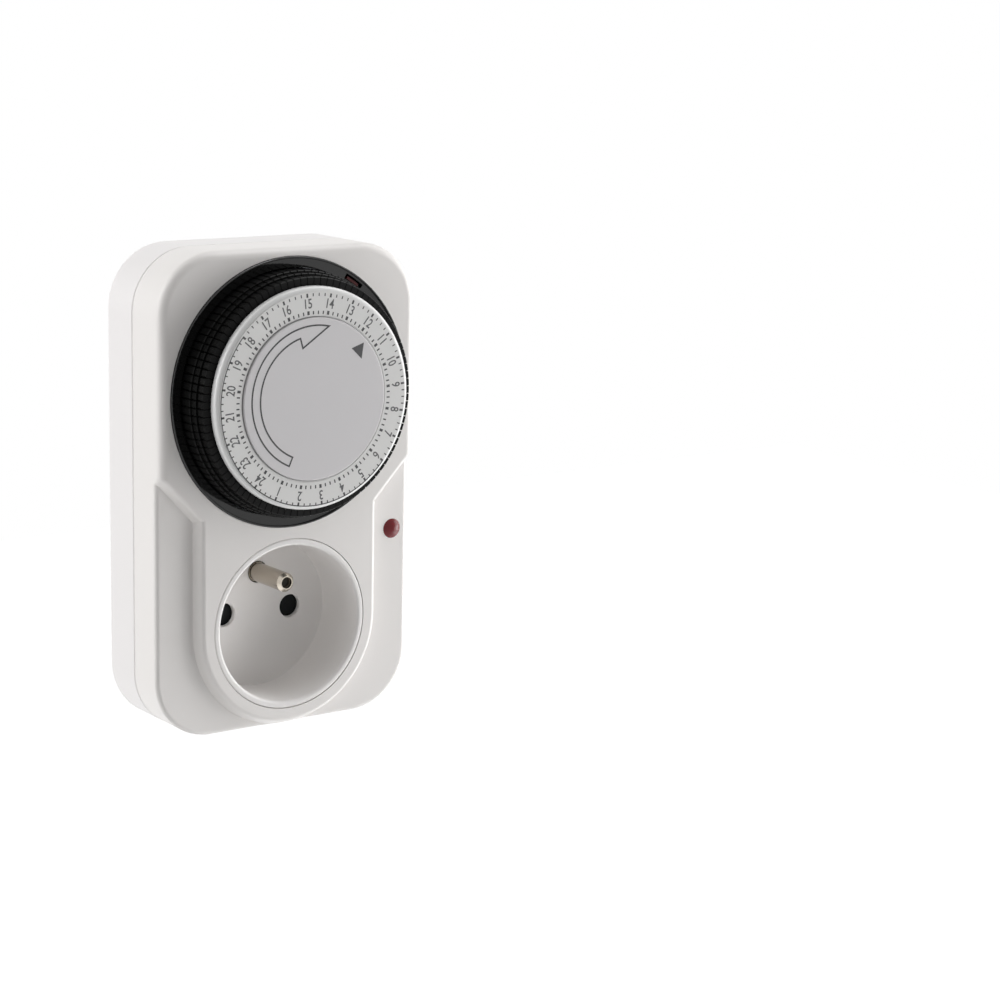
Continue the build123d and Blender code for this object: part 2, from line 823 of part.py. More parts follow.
with BuildPart() as dial_spindle:
    round_bar(dial_place, spindle_radius, centre_disc_back_y, plate_y)
    round_bar(
        dial_place,
        centre_disc_pip_radius,
        centre_disc_back_y - centre_disc_pip,
        centre_disc_back_y,
    )
    round_bar(dial_place, spindle_collar_radius, dial_gear_back_y + spindle_collar_gap, plate_y)
    round_bar(dial_place, spindle_tail_radius, plate_y, plate_back_y)
    round_bar(
        dial_place,
        spindle_radius + near,
        clip_y - fit_gap,
        clip_back_y + fit_gap,
        bore=clip_groove_radius,
        mode=Mode.SUBTRACT,
    )
dial_spindle.part.label = "dial_spindle"

with BuildPart() as spindle_clip:
    round_bar(dial_place, clip_radius, clip_y, clip_back_y, bore=clip_groove_radius + fit_gap)
    block(
        -clip_mouth / 2,
        clip_mouth / 2,
        dial_z - clip_radius,
        dial_z,
        clip_y,
        clip_back_y,
        mode=Mode.SUBTRACT,
    )
spindle_clip.part.label = "spindle_clip"

# ---- tappet drum -----------------------------------------------------------------
# A cup with a T-shaped rib at every quarter of an hour, between which the tappets slide.
with BuildPart() as tappet_drum:
    with BuildSketch(at(rib_foot_y)) as drum_plan:
        with Locations(dial_place):
            Circle(drum_radius)
            Circle(drum_radius - drum_wall, mode=Mode.SUBTRACT)
        with Locations(dial_place):
            with PolarLocations(
                (drum_radius + rib_cap_inner_radius) / 2, tappet_count, start_angle=90 - midnight_angle
            ):
                Rectangle(rib_cap_inner_radius - drum_radius + 0.2, rib_width)
            with PolarLocations(
                (rib_cap_outer_radius + rib_cap_inner_radius) / 2,
                tappet_count,
                start_angle=90 - midnight_angle,
            ):
                Rectangle(rib_cap_outer_radius - rib_cap_inner_radius, rib_cap_width)
    extrude(drum_plan.sketch, amount=rib_foot_y - disc_back_y)
    round_bar(dial_place, drum_radius, rib_foot_y, drum_back_y)
    round_bar(dial_place, hub_radius, disc_back_y, drum_back_y)
    round_bar(
        dial_place,
        spindle_radius + spindle_clearance,
        disc_back_y,
        drum_back_y,
        mode=Mode.SUBTRACT,
    )
tappet_drum.part.label = "tappet_drum"

# ---- tappets ---------------------------------------------------------------------
# One tappet, at the top of the dial: a stepped head, a narrow neck and a wider shank.
(upper_radius, upper_end), (middle_radius, middle_end) = grip_steps
tappet_steps = (
    (head_inner_radius, upper_radius, head_share, tappet_top_y),
    (head_inner_radius, middle_radius, head_share, tappet_top_y + upper_end),
    (head_inner_radius, tappet_radius, head_share, tappet_top_y + middle_end),
    (neck_inner_radius - near, head_inner_radius + near, neck_share, tappet_top_y),
    (shank_inner_radius, neck_inner_radius, shank_share, tappet_top_y),
)


with BuildPart() as tappet:
    for inner, outer, share, front in tappet_steps:
        half_turn = radians(tappet_pitch * share / 2)
        with BuildSketch(at(tappet_foot_y)) as step_plan:
            with BuildLine():
                Polyline(
                    (-inner * sin(half_turn), dial_z + inner * cos(half_turn)),
                    (inner * sin(half_turn), dial_z + inner * cos(half_turn)),
                    (outer * sin(half_turn), dial_z + outer * cos(half_turn)),
                    (-outer * sin(half_turn), dial_z + outer * cos(half_turn)),
                    close=True,
                )
            make_face()
            if share == head_share:
                chamfer(step_plan.vertices().group_by(Axis.Y)[-1], grip_chamfer)
        extrude(step_plan.sketch, amount=tappet_foot_y - front)
    for front in (tappet_top_y, tappet_top_y + upper_end, tappet_top_y + middle_end):
        chamfer(
            at_level(tappet.edges(), front).filter_by(Axis.X).sort_by(Axis.Z)[-1], grip_round
        )

# The tappets of every two hours, which run anticlockwise from midnight.
tappet_sets = []
for group in range(tappet_groups):
    with BuildPart() as tappet_set:
        for step in range(tappet_count // tappet_groups):
            quarter = group * tappet_count // tappet_groups + step
            add(tappet.part.rotate(dial_axis, midnight_angle - (quarter + 0.5) * tappet_pitch))
    first_hour = group * hours // tappet_groups
    tappet_set.part.label = f"tappets_{first_hour:02d}_{first_hour + hours // tappet_groups:02d}"
    tappet_sets.append(tappet_set.part)

# ---- gear train ------------------------------------------------------------------
idler_line = 90 - idler_angle
motor_line = 90 - motor_angle

with BuildPart() as dial_gear:
    gear(
        dial_teeth,
        dial_place,
        idler_line,
        dial_gear_y,
        dial_gear_back_y,
        spindle_radius + spindle_clearance,
    )
    round_bar(
        dial_place,
        gear_neck_radius,
        drum_back_y,
        dial_gear_y,
        bore=spindle_radius + spindle_clearance,
    )
dial_gear.part.label = "dial_gear"

with BuildPart() as idler_gear:
    gear(
        pinion_teeth,
        idler_place,
        idler_line + 180 + 180 / pinion_teeth,
        dial_gear_y,
        wheel_y,
        idler_axle_radius + shaft_clearance,
    )
    gear(
        wheel_teeth,
        idler_place,
        motor_line,
        wheel_y,
        wheel_back_y,
        idler_axle_radius + shaft_clearance,
    )
idler_gear.part.label = "idler_gear"

with BuildPart() as idler_axle:
    round_bar(idler_place, idler_axle_radius, dial_gear_y - shaft_clearance, plate_back_y)
    round_bar(
        idler_place,
        axle_head_radius,
        dial_gear_y - shaft_clearance - axle_head,
        dial_gear_y - shaft_clearance,
    )
    round_bar(idler_place, axle_head_radius, wheel_back_y + shaft_clearance, plate_y)
idler_axle.part.label = "idler_axle"

motor_mount_y = plate_back_y + motor_plate
motor_shaft_end_y = motor_mount_y + motor_shaft_reach

with BuildPart() as motor_pinion:
    gear(
        motor_teeth,
        motor_place,
        motor_line + 180 + 180 / motor_teeth,
        wheel_y,
        wheel_back_y,
        motor_shaft_radius - near,
    )
    round_bar(motor_place, motor_shaft_radius, wheel_y, motor_shaft_end_y)
motor_pinion.part.label = "motor_pinion"

# ---- movement plate --------------------------------------------------------------
# The plate that carries the gears, with two lugs for the feeler's pin.
across_x = -feeler_run[1] / feeler_length
across_z = feeler_run[0] / feeler_length
lug_offset = feeler_width / 2 + lug_gap + lug_thickness / 2
ear_places = [
    round_place((motor_x, motor_z), motor_ear_reach, motor_ear_angle + turn) for turn in (0, 180)
]
short_screw_places = ear_places + switch_ear_places

with BuildPart() as movement_plate:
    with BuildSketch(at(plate_back_y)) as plate_plan:
        with BuildLine():
            Polyline(
                (-plate_half_width, plate_bottom),
                (plate_half_width, plate_bottom),
                (plate_half_width, plate_neck_z),
                (plate_neck_half_width, plate_neck_z),
                (plate_neck_half_width, plate_top),
                (-plate_neck_half_width, plate_top),
                (-plate_neck_half_width, plate_neck_z),
                (-plate_half_width, plate_neck_z),
                close=True,
            )
        make_face()
        fillet(plate_plan.vertices(), plate_corner)
        for places, hole in (
            (plate_post_places, plate_screw_radius + screw_clearance),
            (short_screw_places, plate_screw_radius),
            ([dial_place], spindle_tail_radius),
            ([idler_place], idler_axle_radius),
            ([motor_place], motor_shaft_radius + shaft_clearance),
            ([plunger_place], plunger_radius + plunger_clearance),
        ):
            with Locations(*places):
                Circle(hole, mode=Mode.SUBTRACT)
    extrude(plate_plan.sketch, amount=plate_thickness)
    with BuildSketch(at(plate_y)) as lug_plan:
        for side in (-lug_offset, lug_offset):
            with Locations((pivot_place[0] + side * across_x, pivot_place[1] + side * across_z)):
                Rectangle(lug_width, lug_thickness, rotation=feeler_turn)
    extrude(lug_plan.sketch, amount=plate_y - feeler_pin_y + lug_reach)
    with BuildSketch(feeler_pin_plane) as pin_holes:
        Circle(feeler_pin_radius)
    extrude(pin_holes.sketch, amount=case_width, both=True, mode=Mode.SUBTRACT)
movement_plate.part.label = "movement_plate"

# ---- motor -----------------------------------------------------------------------
with BuildPart() as motor_can:
    with BuildSketch(at(motor_mount_y)) as mount_plan:
        with Locations((motor_x, motor_z)):
            Circle(motor_radius)
            Rectangle(
                2 * motor_ear_reach, 2 * motor_ear_radius, rotation=90 - motor_ear_angle
            )
        with Locations(*ear_places):
            Circle(motor_ear_radius)
            Circle(plate_screw_radius + screw_clearance, mode=Mode.SUBTRACT)
        with Locations(motor_place):
            Circle(motor_shaft_radius + shaft_clearance, mode=Mode.SUBTRACT)
    extrude(mount_plan.sketch, amount=motor_plate)
    round_bar((motor_x, motor_z), motor_radius, motor_mount_y, motor_back_y)
    fillet(at_level(motor_can.edges(), motor_back_y), motor_wall)
    round_bar(
        (motor_x, motor_z),
        motor_radius - motor_wall,
        motor_mount_y,
        motor_back_y - motor_wall,
        mode=Mode.SUBTRACT,
    )
    # the block where the leads leave
    block(
        motor_x - lead_block_half_width,
        motor_x + lead_block_half_width,
        lead_block_z,
        motor_z - motor_radius + 2 * motor_wall,
        lead_block_y,
        motor_back_y - motor_wall,
    )
motor_can.part.label = "motor_can"

with BuildPart() as motor_coil:
    round_bar(
        (motor_x, motor_z),
        coil_outer_radius,
        motor_shaft_end_y + motor_shaft_reach,
        motor_back_y - motor_wall,
        bore=coil_inner_radius,
    )
motor_coil.part.label = "motor_coil"

# ---- screws ----------------------------------------------------------------------
with BuildPart() as plate_screws:
    for place in plate_post_places:
        round_bar(place, plate_screw_head_radius, plate_y - plate_screw_head, plate_y)
        round_bar(place, plate_screw_radius, plate_y, plate_y + plate_screw_length)
        with Locations(Location((place[0], plate_y - plate_screw_head, place[1]))):
            Box(1.6 * plate_screw_head_radius, screw_slot_depth, screw_slot, mode=Mode.SUBTRACT)
plate_screws.part.label = "plate_screws"

with BuildPart() as movement_screws:
    for place, seat_y in [(place, motor_mount_y) for place in ear_places] + [
        (place, plate_back_y + switch_ear) for place in switch_ear_places
    ]:
        round_bar(place, plate_screw_head_radius, seat_y, seat_y + plate_screw_head)
        round_bar(place, plate_screw_radius - fit_gap, plate_y, seat_y)
        with Locations(Location((place[0], seat_y + plate_screw_head, place[1]))):
            Box(1.6 * plate_screw_head_radius, screw_slot_depth, screw_slot, mode=Mode.SUBTRACT)
movement_screws.part.label = "movement_screws"

with BuildPart() as case_screws:
    for place in case_screw_places:
        head_back_y = case_screw_seat_y + case_screw_head
        round_bar(place, case_screw_radius, case_screw_tip_y, case_screw_seat_y)
        round_bar(place, case_screw_head_radius, case_screw_seat_y, head_back_y)
        for length, width in ((case_screw_cross, screw_slot), (screw_slot, case_screw_cross)):
            with Locations(Location((place[0], head_back_y, place[1]))):
                Box(length, 2 * screw_slot_depth, width, mode=Mode.SUBTRACT)
case_screws.part.label = "case_screws"

# ---- feeler ----------------------------------------------------------------------
# A lever under the tappets, with a nose that they press and a tip that shows in the ring.
with BuildPart() as feeler_lever:
    with BuildSketch(at(feeler_back_y)) as lever_plan:
        with Locations(((nose_place[0] + pivot_place[0]) / 2, (nose_place[1] + pivot_place[1]) / 2)):
            SlotCenterToCenter(feeler_length, feeler_width, rotation=feeler_turn)
    extrude(lever_plan.sketch, amount=feeler_thickness)
    with BuildSketch(feeler_pin_plane) as hub_plan:
        Circle(feeler_hub_radius)
    extrude(hub_plan.sketch, amount=feeler_width / 2, both=True)
    with BuildSketch(feeler_pin_plane) as pin_bore:
        Circle(feeler_pin_radius + shaft_clearance)
    extrude(pin_bore.sketch, amount=feeler_width, both=True, mode=Mode.SUBTRACT)
    sector(
        feeler_angle,
        feeler_nose_half_angle,
        (
            (feeler_radius - feeler_width / 2 + grip_round, feeler_back_y),
            (feeler_radius - feeler_width / 2 + grip_round, feeler_nose_y),
            (feeler_radius + feeler_width / 2 - grip_round, feeler_nose_y),
            (feeler_radius + feeler_width / 2 - grip_round, feeler_back_y),
        ),
    )
    nose_ends = at_level(feeler_lever.edges(), feeler_nose_y).filter_by(GeomType.LINE)
    chamfer(nose_ends, feeler_nose_bevel)
    sector(
        feeler_angle,
        feeler_tip_half_angle,
        (
            (feeler_radius, feeler_back_y),
            (feeler_radius, feeler_y),
            (feeler_tip_inner_radius, feeler_y),
            (feeler_tip_inner_radius, feeler_tip_y),
            (feeler_tip_outer_radius, feeler_tip_y),
            (feeler_tip_outer_radius, feeler_back_y),
        ),
    )
feeler_lever.part.label = "feeler_lever"

with BuildPart() as feeler_pin:
    with BuildSketch(feeler_pin_plane) as pin_plan:
        Circle(feeler_pin_radius)
    extrude(pin_plan.sketch, amount=lug_offset + lug_thickness / 2, both=True)
feeler_pin.part.label = "feeler_pin"

# ---- switch ----------------------------------------------------------------------
plunger_x = plunger_place[0]
flange_y = plate_back_y + plunger_gap

with BuildPart() as switch_plunger:
    round_bar(plunger_place, plunger_radius, feeler_back_y + plunger_gap, leaf_y - plunger_gap)
    fillet(at_level(switch_plunger.edges(), feeler_back_y + plunger_gap), plunger_radius / 3)
    round_bar(plunger_place, plunger_flange_radius, flange_y, flange_y + plunger_flange)
switch_plunger.part.label = "switch_plunger"

with BuildPart() as switch_base:
    block(switch_left, switch_right, switch_bottom, switch_top, plate_back_y, switch_back_y)
    block(
        switch_left + switch_wall,
        switch_right - switch_wall,
        switch_bottom + switch_wall,
        switch_top - switch_wall,
        plate_back_y,
        switch_floor_y,
        mode=Mode.SUBTRACT,
    )
    # the pad behind the leaf's root
    block(
        plunger_x - terminal_half_width,
        plunger_x + terminal_half_width,
        switch_bottom,
        terminal_top_z,
        terminal_y + terminal_thickness,
        switch_floor_y,
    )
    # the slots where the two terminals leave
    block(
        plunger_x - terminal_half_width,
        plunger_x + terminal_half_width,
        switch_bottom,
        switch_bottom + switch_wall,
        terminal_y,
        terminal_y + terminal_thickness,
        mode=Mode.SUBTRACT,
    )
    block(
        fixed_strip_left,
        fixed_strip_right,
        switch_bottom,
        switch_bottom + switch_wall,
        fixed_contact_y,
        switch_floor_y,
        mode=Mode.SUBTRACT,
    )
    for place, wall_x in zip(switch_ear_places, (switch_left, switch_left + switch_ear_radius)):
        round_bar(place, switch_ear_radius, plate_back_y, plate_back_y + switch_ear)
        block(
            place[0],
            wall_x + switch_wall / 2,
            place[1] - switch_ear_radius,
            max(place[1] + switch_ear_radius, switch_bottom) - near,
            plate_back_y,
            plate_back_y + switch_ear,
        )
        round_bar(
            place,
            plate_screw_radius + screw_clearance,
            plate_back_y,
            plate_back_y + switch_ear,
            mode=Mode.SUBTRACT,
        )
switch_base.part.label = "switch_base"

with BuildPart() as contact_leaf:
    block(
        plunger_x - leaf_width / 2,
        plunger_x + leaf_width / 2,
        leaf_root_z,
        leaf_tip_z,
        leaf_y,
        leaf_back_y,
    )
    round_bar((plunger_x, contact_z), contact_radius, leaf_back_y, leaf_back_y + contact_height)
    fillet(at_level(contact_leaf.edges(), leaf_back_y + contact_height), contact_height / 2)
contact_leaf.part.label = "contact_leaf"

with BuildPart() as leaf_terminal:
    block(
        plunger_x - terminal_half_width,
        plunger_x + terminal_half_width,
        terminal_foot_z,
        terminal_top_z,
        terminal_y,
        terminal_y + terminal_thickness,
    )
    # the tag where the live wire and the motor's lead end
    block(
        plunger_x - terminal_half_width,
        plunger_x + terminal_half_width,
        terminal_foot_z - tag_thickness,
        terminal_foot_z,
        terminal_y + terminal_thickness - tag_reach,
        terminal_y + terminal_thickness,
    )
leaf_terminal.part.label = "leaf_terminal"

with BuildPart() as fixed_contact:
    block(
        plunger_x - leaf_width / 2,
        fixed_strip_right,
        contact_z - leaf_width / 2,
        contact_z + leaf_width / 2,
        fixed_contact_y,
        switch_floor_y,
    )
    block(
        fixed_strip_left,
        fixed_strip_right,
        terminal_foot_z,
        contact_z,
        fixed_contact_y,
        switch_floor_y,
    )
    round_bar(
        (plunger_x, contact_z), contact_radius, fixed_contact_y - contact_height, fixed_contact_y
    )
    fillet(
        at_level(fixed_contact.edges(), fixed_contact_y - contact_height), contact_height / 2
    )
    # the tag where the load wire and the lamp's lead end
    block(
        fixed_strip_left,
        fixed_strip_right,
        terminal_foot_z - tag_thickness,
        terminal_foot_z,
        fixed_contact_y,
        fixed_contact_y + tag_reach,
    )
fixed_contact.part.label = "fixed_contact"

# ---- plug pins and earth ---------------------------------------------------------
with BuildPart() as live_pin:
    round_bar((-pin_x, 0), pin_radius, -pin_root_setback, pin_length)
    fillet(at_level(live_pin.edges(), pin_length), pin_round)
    round_bar((-pin_x, 0), pin_root_radius, plug_inner_y, -pin_root_setback)
    round_bar((-pin_x, 0), pin_collar_radius, plug_inner_y - pin_collar, plug_inner_y)
    tail_y = plug_inner_y - pin_collar - live_tail
    round_bar((-pin_x, 0), pin_tail_radius, tail_y, plug_inner_y - pin_collar)
    with BuildSketch(Plane.XY) as wire_hole:
        with Locations((-pin_x, live_wire_y)):
            Circle(wire_radius + fit_gap)
    extrude(wire_hole.sketch, amount=pin_tail_radius, mode=Mode.SUBTRACT)
live_pin.part.label = "live_pin"

with BuildPart() as neutral_pin:
    round_bar((pin_x, 0), pin_radius, -pin_root_setback, pin_length)
    fillet(at_level(neutral_pin.edges(), pin_length), pin_round)
    round_bar((pin_x, 0), pin_root_radius, plug_inner_y, -pin_root_setback)
    round_bar((pin_x, 0), pin_collar_radius, plug_inner_y - pin_collar, plug_inner_y)
    round_bar((pin_x, 0), pin_tail_radius, contact_base_y, plug_inner_y - pin_collar)
neutral_pin.part.label = "neutral_pin"

earth_link_y = -sleeve_setback - sleeve_bore_depth
earth_joint_y = earth_link_y - sleeve_end

with BuildPart() as earth_sleeve:
    round_bar((0, earth_rise), sleeve_radius, earth_joint_y, -sleeve_setback)
    round_bar((0, earth_rise), sleeve_collar_radius, plug_inner_y - pin_collar, plug_inner_y)
    round_bar(
        (0, earth_rise), sleeve_bore_radius, earth_link_y, -sleeve_setback, mode=Mode.SUBTRACT
    )
    mouth = at_level(earth_sleeve.edges(), -sleeve_setback).sort_by(SortBy.LENGTH)[0]
    chamfer(mouth, sleeve_clearance * 3)
earth_sleeve.part.label = "earth_sleeve"

with BuildPart() as earth_pin:
    round_bar((0, earth_rise), pin_radius, floor_y - earth_pin_proud, floor_y + pin_root_setback)
    chamfer(at_level(earth_pin.edges(), floor_y - earth_pin_proud), earth_pin_chamfer)
    round_bar(
        (0, earth_rise),
        earth_pin_dimple_radius,
        floor_y - earth_pin_proud,
        floor_y - earth_pin_proud + earth_pin_dimple,
        mode=Mode.SUBTRACT,
    )
    round_bar((0, earth_rise), pin_root_radius, floor_y + pin_root_setback, earth_joint_y)
    round_bar(
        (0, earth_rise), earth_pin_flange_radius, floor_back_y, floor_back_y + earth_pin_flange
    )
earth_pin.part.label = "earth_pin"

# ---- socket contacts and their carrier -------------------------------------------
leaf_outer = contact_grip / 2 + contact_thickness


def socket_contact(x):
    """A fork of two leaves that grips a plug's pin, on a base."""
    for side in (-1, 1):
        block(
            x + min(side * leaf_outer, side * contact_grip / 2),
            x + max(side * leaf_outer, side * contact_grip / 2),
            -contact_width / 2,
            contact_width / 2,
            contact_mouth_y,
            contact_base_y,
        )
    block(
        x - leaf_outer,
        x + leaf_outer,
        -contact_width / 2,
        contact_width / 2,
        contact_base_y - contact_thickness,
        contact_base_y,
    )


with BuildPart() as live_contact:
    socket_contact(-pin_x)
    block(
        -pin_x - contact_grip / 2,
        -pin_x + contact_grip / 2,
        -contact_width / 2 - contact_tail,
        -contact_width / 2,
        contact_base_y - contact_thickness,
        contact_base_y,
    )
live_contact.part.label = "live_contact"

with BuildPart() as neutral_contact:
    socket_contact(pin_x)
neutral_contact.part.label = "neutral_contact"

with BuildPart() as contact_carrier:
    round_bar((0, 0), carrier_radius, carrier_y, carrier_back_y)
    for place in carrier_leg_places:
        round_bar(place, carrier_leg_radius, carrier_back_y, plug_inner_y)
    for place, hole in (
        ((pin_x, 0), pin_tail_radius + screw_clearance),
        ((-pin_x, 0), live_tail_hole_radius),
        ((0, earth_rise), sleeve_radius + fit_gap),
    ):
        round_bar(place, hole, carrier_y, carrier_back_y, mode=Mode.SUBTRACT)
    block(
        -pin_x - wire_radius - 2 * screw_clearance,
        -pin_x + wire_radius + 2 * screw_clearance,
        0,
        carrier_radius,
        carrier_y,
        carrier_back_y,
        mode=Mode.SUBTRACT,
    )
contact_carrier.part.label = "contact_carrier"

# ---- shutter ---------------------------------------------------------------------
# A plate over the live holes, on a spring; it slides down as a plug goes in.
with BuildPart() as shutter:
    block(
        -shutter_half_width,
        shutter_half_width,
        -shutter_half_height,
        shutter_half_height,
        shutter_y,
        shutter_back_y,
    )
    for side in (-1, 1):
        block(
            min(side * shutter_half_width, side * (shutter_half_width - shutter_arm)),
            max(side * shutter_half_width, side * (shutter_half_width - shutter_arm)),
            shutter_arm_z,
            0,
            shutter_y,
            shutter_back_y,
        )
    block(
        -spring_tab_half_width,
        spring_tab_half_width,
        spring_tab_z,
        -shutter_half_height,
        shutter_y,
        spring_back_y,
    )
shutter.part.label = "shutter"

with BuildPart() as shutter_spring:
    coil_low = spring_seat_z + spring_wire_radius
    coil_height = spring_tab_z - spring_wire_radius - coil_low
    with BuildLine() as coil_path:
        Helix(
            pitch=coil_height / spring_turns,
            height=coil_height,
            radius=spring_radius,
            center=(0, spring_y, coil_low),
        )
    with BuildSketch(Plane(origin=coil_path.line @ 0, z_dir=coil_path.line % 0)) as coil_wire:
        Circle(spring_wire_radius)
    sweep(coil_wire.sketch, path=coil_path.line, is_frenet=True)
shutter_spring.part.label = "shutter_spring"

# ---- lamp ------------------------------------------------------------------------
lens_back_y = shoulder_y + lens_length
neon_y = lens_back_y + neon_gap
neon_back_y = neon_y + neon_length
lamp_axis = Axis((lamp_x, 0, lamp_z), (0, 1, 0))

with BuildPart() as lamp_lens:
    lens_curve = (lens_radius**2 + lens_dome**2) / (2 * lens_dome)
    with BuildSketch(Plane(origin=(lamp_x, 0, lamp_z))) as lens_profile:
        with BuildLine():
            RadiusArc((0, shoulder_y - lens_dome), (lens_radius, shoulder_y), -lens_curve)
            Polyline(
                (lens_radius, shoulder_y),
                (lens_stem_radius, shoulder_y),
                (lens_stem_radius, lens_back_y),
                (0, lens_back_y),
                (0, shoulder_y - lens_dome),
            )
        make_face()
    revolve(lens_profile.sketch, axis=lamp_axis)
lamp_lens.part.label = "lamp_lens"

with BuildPart() as neon_lamp:
    round_bar(lamp_place, neon_radius, neon_y, neon_back_y)
    fillet(at_level(neon_lamp.edges(), neon_y), neon_round)
neon_lamp.part.label = "neon_lamp"

with BuildPart() as lamp_resistor:
    with BuildSketch(Plane(origin=(resistor_x, resistor_y, resistor_z))) as resistor_plan:
        Circle(resistor_radius)
    extrude(resistor_plan.sketch, amount=resistor_length)
    fillet(lamp_resistor.edges().filter_by(GeomType.CIRCLE), resistor_radius / 3)
lamp_resistor.part.label = "lamp_resistor"

# ---- wires -----------------------------------------------------------------------
tag_z = terminal_foot_z - tag_thickness
leaf_tag_y = terminal_y + terminal_thickness - tag_reach / 2
load_tag_y = fixed_contact_y + tag_reach / 2
load_tag_x = fixed_strip_left + 1.2
solder_tail_z = -contact_width / 2 - contact_tail * 0.7

with BuildPart() as live_wire:
    wire_along(
        (
            (-pin_x, live_wire_y, fit_gap),
            (-pin_x, live_wire_y, earth_rise - 1.5),
            (-pin_x, rear_wire_y, earth_rise - 1.5),
            (-pin_x, rear_wire_y, 29),
            (16, rear_wire_y, 29),
            (21.9, -23, 33.5),
            (22.4, leaf_tag_y, 39),
            (22.9, leaf_tag_y, 44),
            (22.9, leaf_tag_y, tag_z),
        ),
        wire_radius,
    )
live_wire.part.label = "live_wire"

with BuildPart() as load_wire:
    wire_along(
        (
            (load_tag_x, load_tag_y, tag_z),
            (load_tag_x, load_tag_y, 45),
            (24.1, -24.2, 39),
            (24.1, -24.2, 0),
            (18, -20.6, -9),
            (10, rear_wire_y, -13),
            (-pin_x, rear_wire_y, -13),
            (-pin_x, rear_wire_y, solder_tail_z),
            (-pin_x, contact_base_y - contact_thickness, solder_tail_z),
        ),
        wire_radius,
    )
load_wire.part.label = "load_wire"

with BuildPart() as lamp_leads:
    # neon lamp to resistor, resistor to the neutral contact, and neon lamp to the load
    for route in (
        (
            (lamp_x, neon_back_y, lamp_z - neon_lead_spacing / 2),
            (lamp_x, neon_back_y + 3.5, lamp_z - neon_lead_spacing / 2),
            (resistor_x, resistor_y, lamp_z - 2.6),
            (resistor_x, resistor_y, resistor_z + resistor_length),
        ),
        (
            (resistor_x, resistor_y, resistor_z),
            (resistor_x, resistor_y, -1.2),
            (resistor_x - 4, lead_y, -1.2),
            (pin_x + leaf_outer, lead_y, -1.2),
        ),
        (
            (lamp_x, neon_back_y, lamp_z + neon_lead_spacing / 2),
            (lamp_x, neon_back_y + 5.5, lamp_z + neon_lead_spacing / 2),
            (lamp_x + 0.8, -23.4, lamp_z + 4),
            (lamp_x + 0.8, -23.4, 36),
            (fixed_strip_right - 0.7, load_tag_y, 42),
            (fixed_strip_right - 0.7, load_tag_y, tag_z),
        ),
    ):
        wire_along(route, lead_radius, lead_bend)
lamp_leads.part.label = "lamp_leads"

with BuildPart() as motor_leads:
    # to the live terminal, and to the neutral contact
    for route in (
        (
            (motor_x + 1.5, lead_out_y, lead_block_z),
            (motor_x + 1.5, lead_out_y, 32.8),
            (15.4, lead_out_y, 32.8),
            (20.45, leaf_tag_y, 40),
            (20.45, leaf_tag_y, tag_z),
        ),
        (
            (motor_x - 1.5, lead_out_y, lead_block_z),
            (motor_x - 1.5, lead_out_y, 30.8),
            (18.4, lead_out_y, 30.8),
            (18.4, lead_out_y, 4),
            (17, lead_y, 1.2),
            (pin_x + leaf_outer, lead_y, 1.2),
        ),
    ):
        wire_along(route, lead_radius, lead_bend)
motor_leads.part.label = "motor_leads"

# ---- export ----------------------------------------------------------------------
os.makedirs("parts", exist_ok=True)
for part in tappet_sets + [
    piece.part
    for piece in (
        front_cover,
        rear_cover,
        socket_insert,
        dial_bezel,
        hour_disc,
        scale_label,
        centre_disc,
        dial_spindle,
        spindle_clip,
        tappet_drum,
        dial_gear,
        idler_gear,
        idler_axle,
        motor_pinion,
        motor_can,
        motor_coil,
        movement_plate,
        plate_screws,
        movement_screws,
        case_screws,
        feeler_lever,
        feeler_pin,
        switch_plunger,
        switch_base,
        contact_leaf,
        leaf_terminal,
        fixed_contact,
        live_pin,
        neutral_pin,
        earth_sleeve,
        earth_pin,
        live_contact,
        neutral_contact,
        contact_carrier,
        shutter,
        shutter_spring,
        lamp_lens,
        neon_lamp,
        lamp_resistor,
        live_wire,
        load_wire,
        lamp_leads,
        motor_leads,
    )
]:
    export_step(part, f"parts/{part.label}.step")
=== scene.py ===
from math import pi, radians

import bpy
import numpy as np
from mathutils import Matrix, Vector


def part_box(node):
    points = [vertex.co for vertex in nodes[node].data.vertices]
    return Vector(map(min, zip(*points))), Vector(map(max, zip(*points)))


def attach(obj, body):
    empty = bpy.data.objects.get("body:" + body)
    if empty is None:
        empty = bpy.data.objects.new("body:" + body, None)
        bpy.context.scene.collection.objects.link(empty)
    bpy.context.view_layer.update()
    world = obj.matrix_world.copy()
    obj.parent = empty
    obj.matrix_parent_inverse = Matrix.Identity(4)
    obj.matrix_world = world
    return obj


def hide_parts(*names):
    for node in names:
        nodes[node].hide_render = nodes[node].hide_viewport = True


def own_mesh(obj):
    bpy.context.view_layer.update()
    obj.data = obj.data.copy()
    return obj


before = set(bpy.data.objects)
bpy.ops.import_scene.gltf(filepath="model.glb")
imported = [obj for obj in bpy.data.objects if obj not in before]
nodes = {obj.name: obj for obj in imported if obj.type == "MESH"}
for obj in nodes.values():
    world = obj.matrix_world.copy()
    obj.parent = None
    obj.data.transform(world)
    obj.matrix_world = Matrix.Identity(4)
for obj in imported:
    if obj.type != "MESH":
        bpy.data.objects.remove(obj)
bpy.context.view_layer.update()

# ---- camera --------------------------------------------------------------------------
# A short telephoto lens, a little above the timer and to its left.
camera_place = (-0.33027, -0.57993, 0.16268)
camera_heading = radians(-36.243)
camera_dip = radians(11.724)
camera_roll = radians(1.213)
camera = bpy.data.objects.new("camera", bpy.data.cameras.new("camera"))
camera.data.sensor_width = 36.0
camera.data.lens = 94.6
camera.matrix_world = (
    Matrix.Translation(camera_place)
    @ Matrix.Rotation(camera_heading, 4, "Z")
    @ Matrix.Rotation(pi / 2 - camera_dip, 4, "X")
    @ Matrix.Rotation(camera_roll, 4, "Z")
)
bpy.context.scene.collection.objects.link(camera)
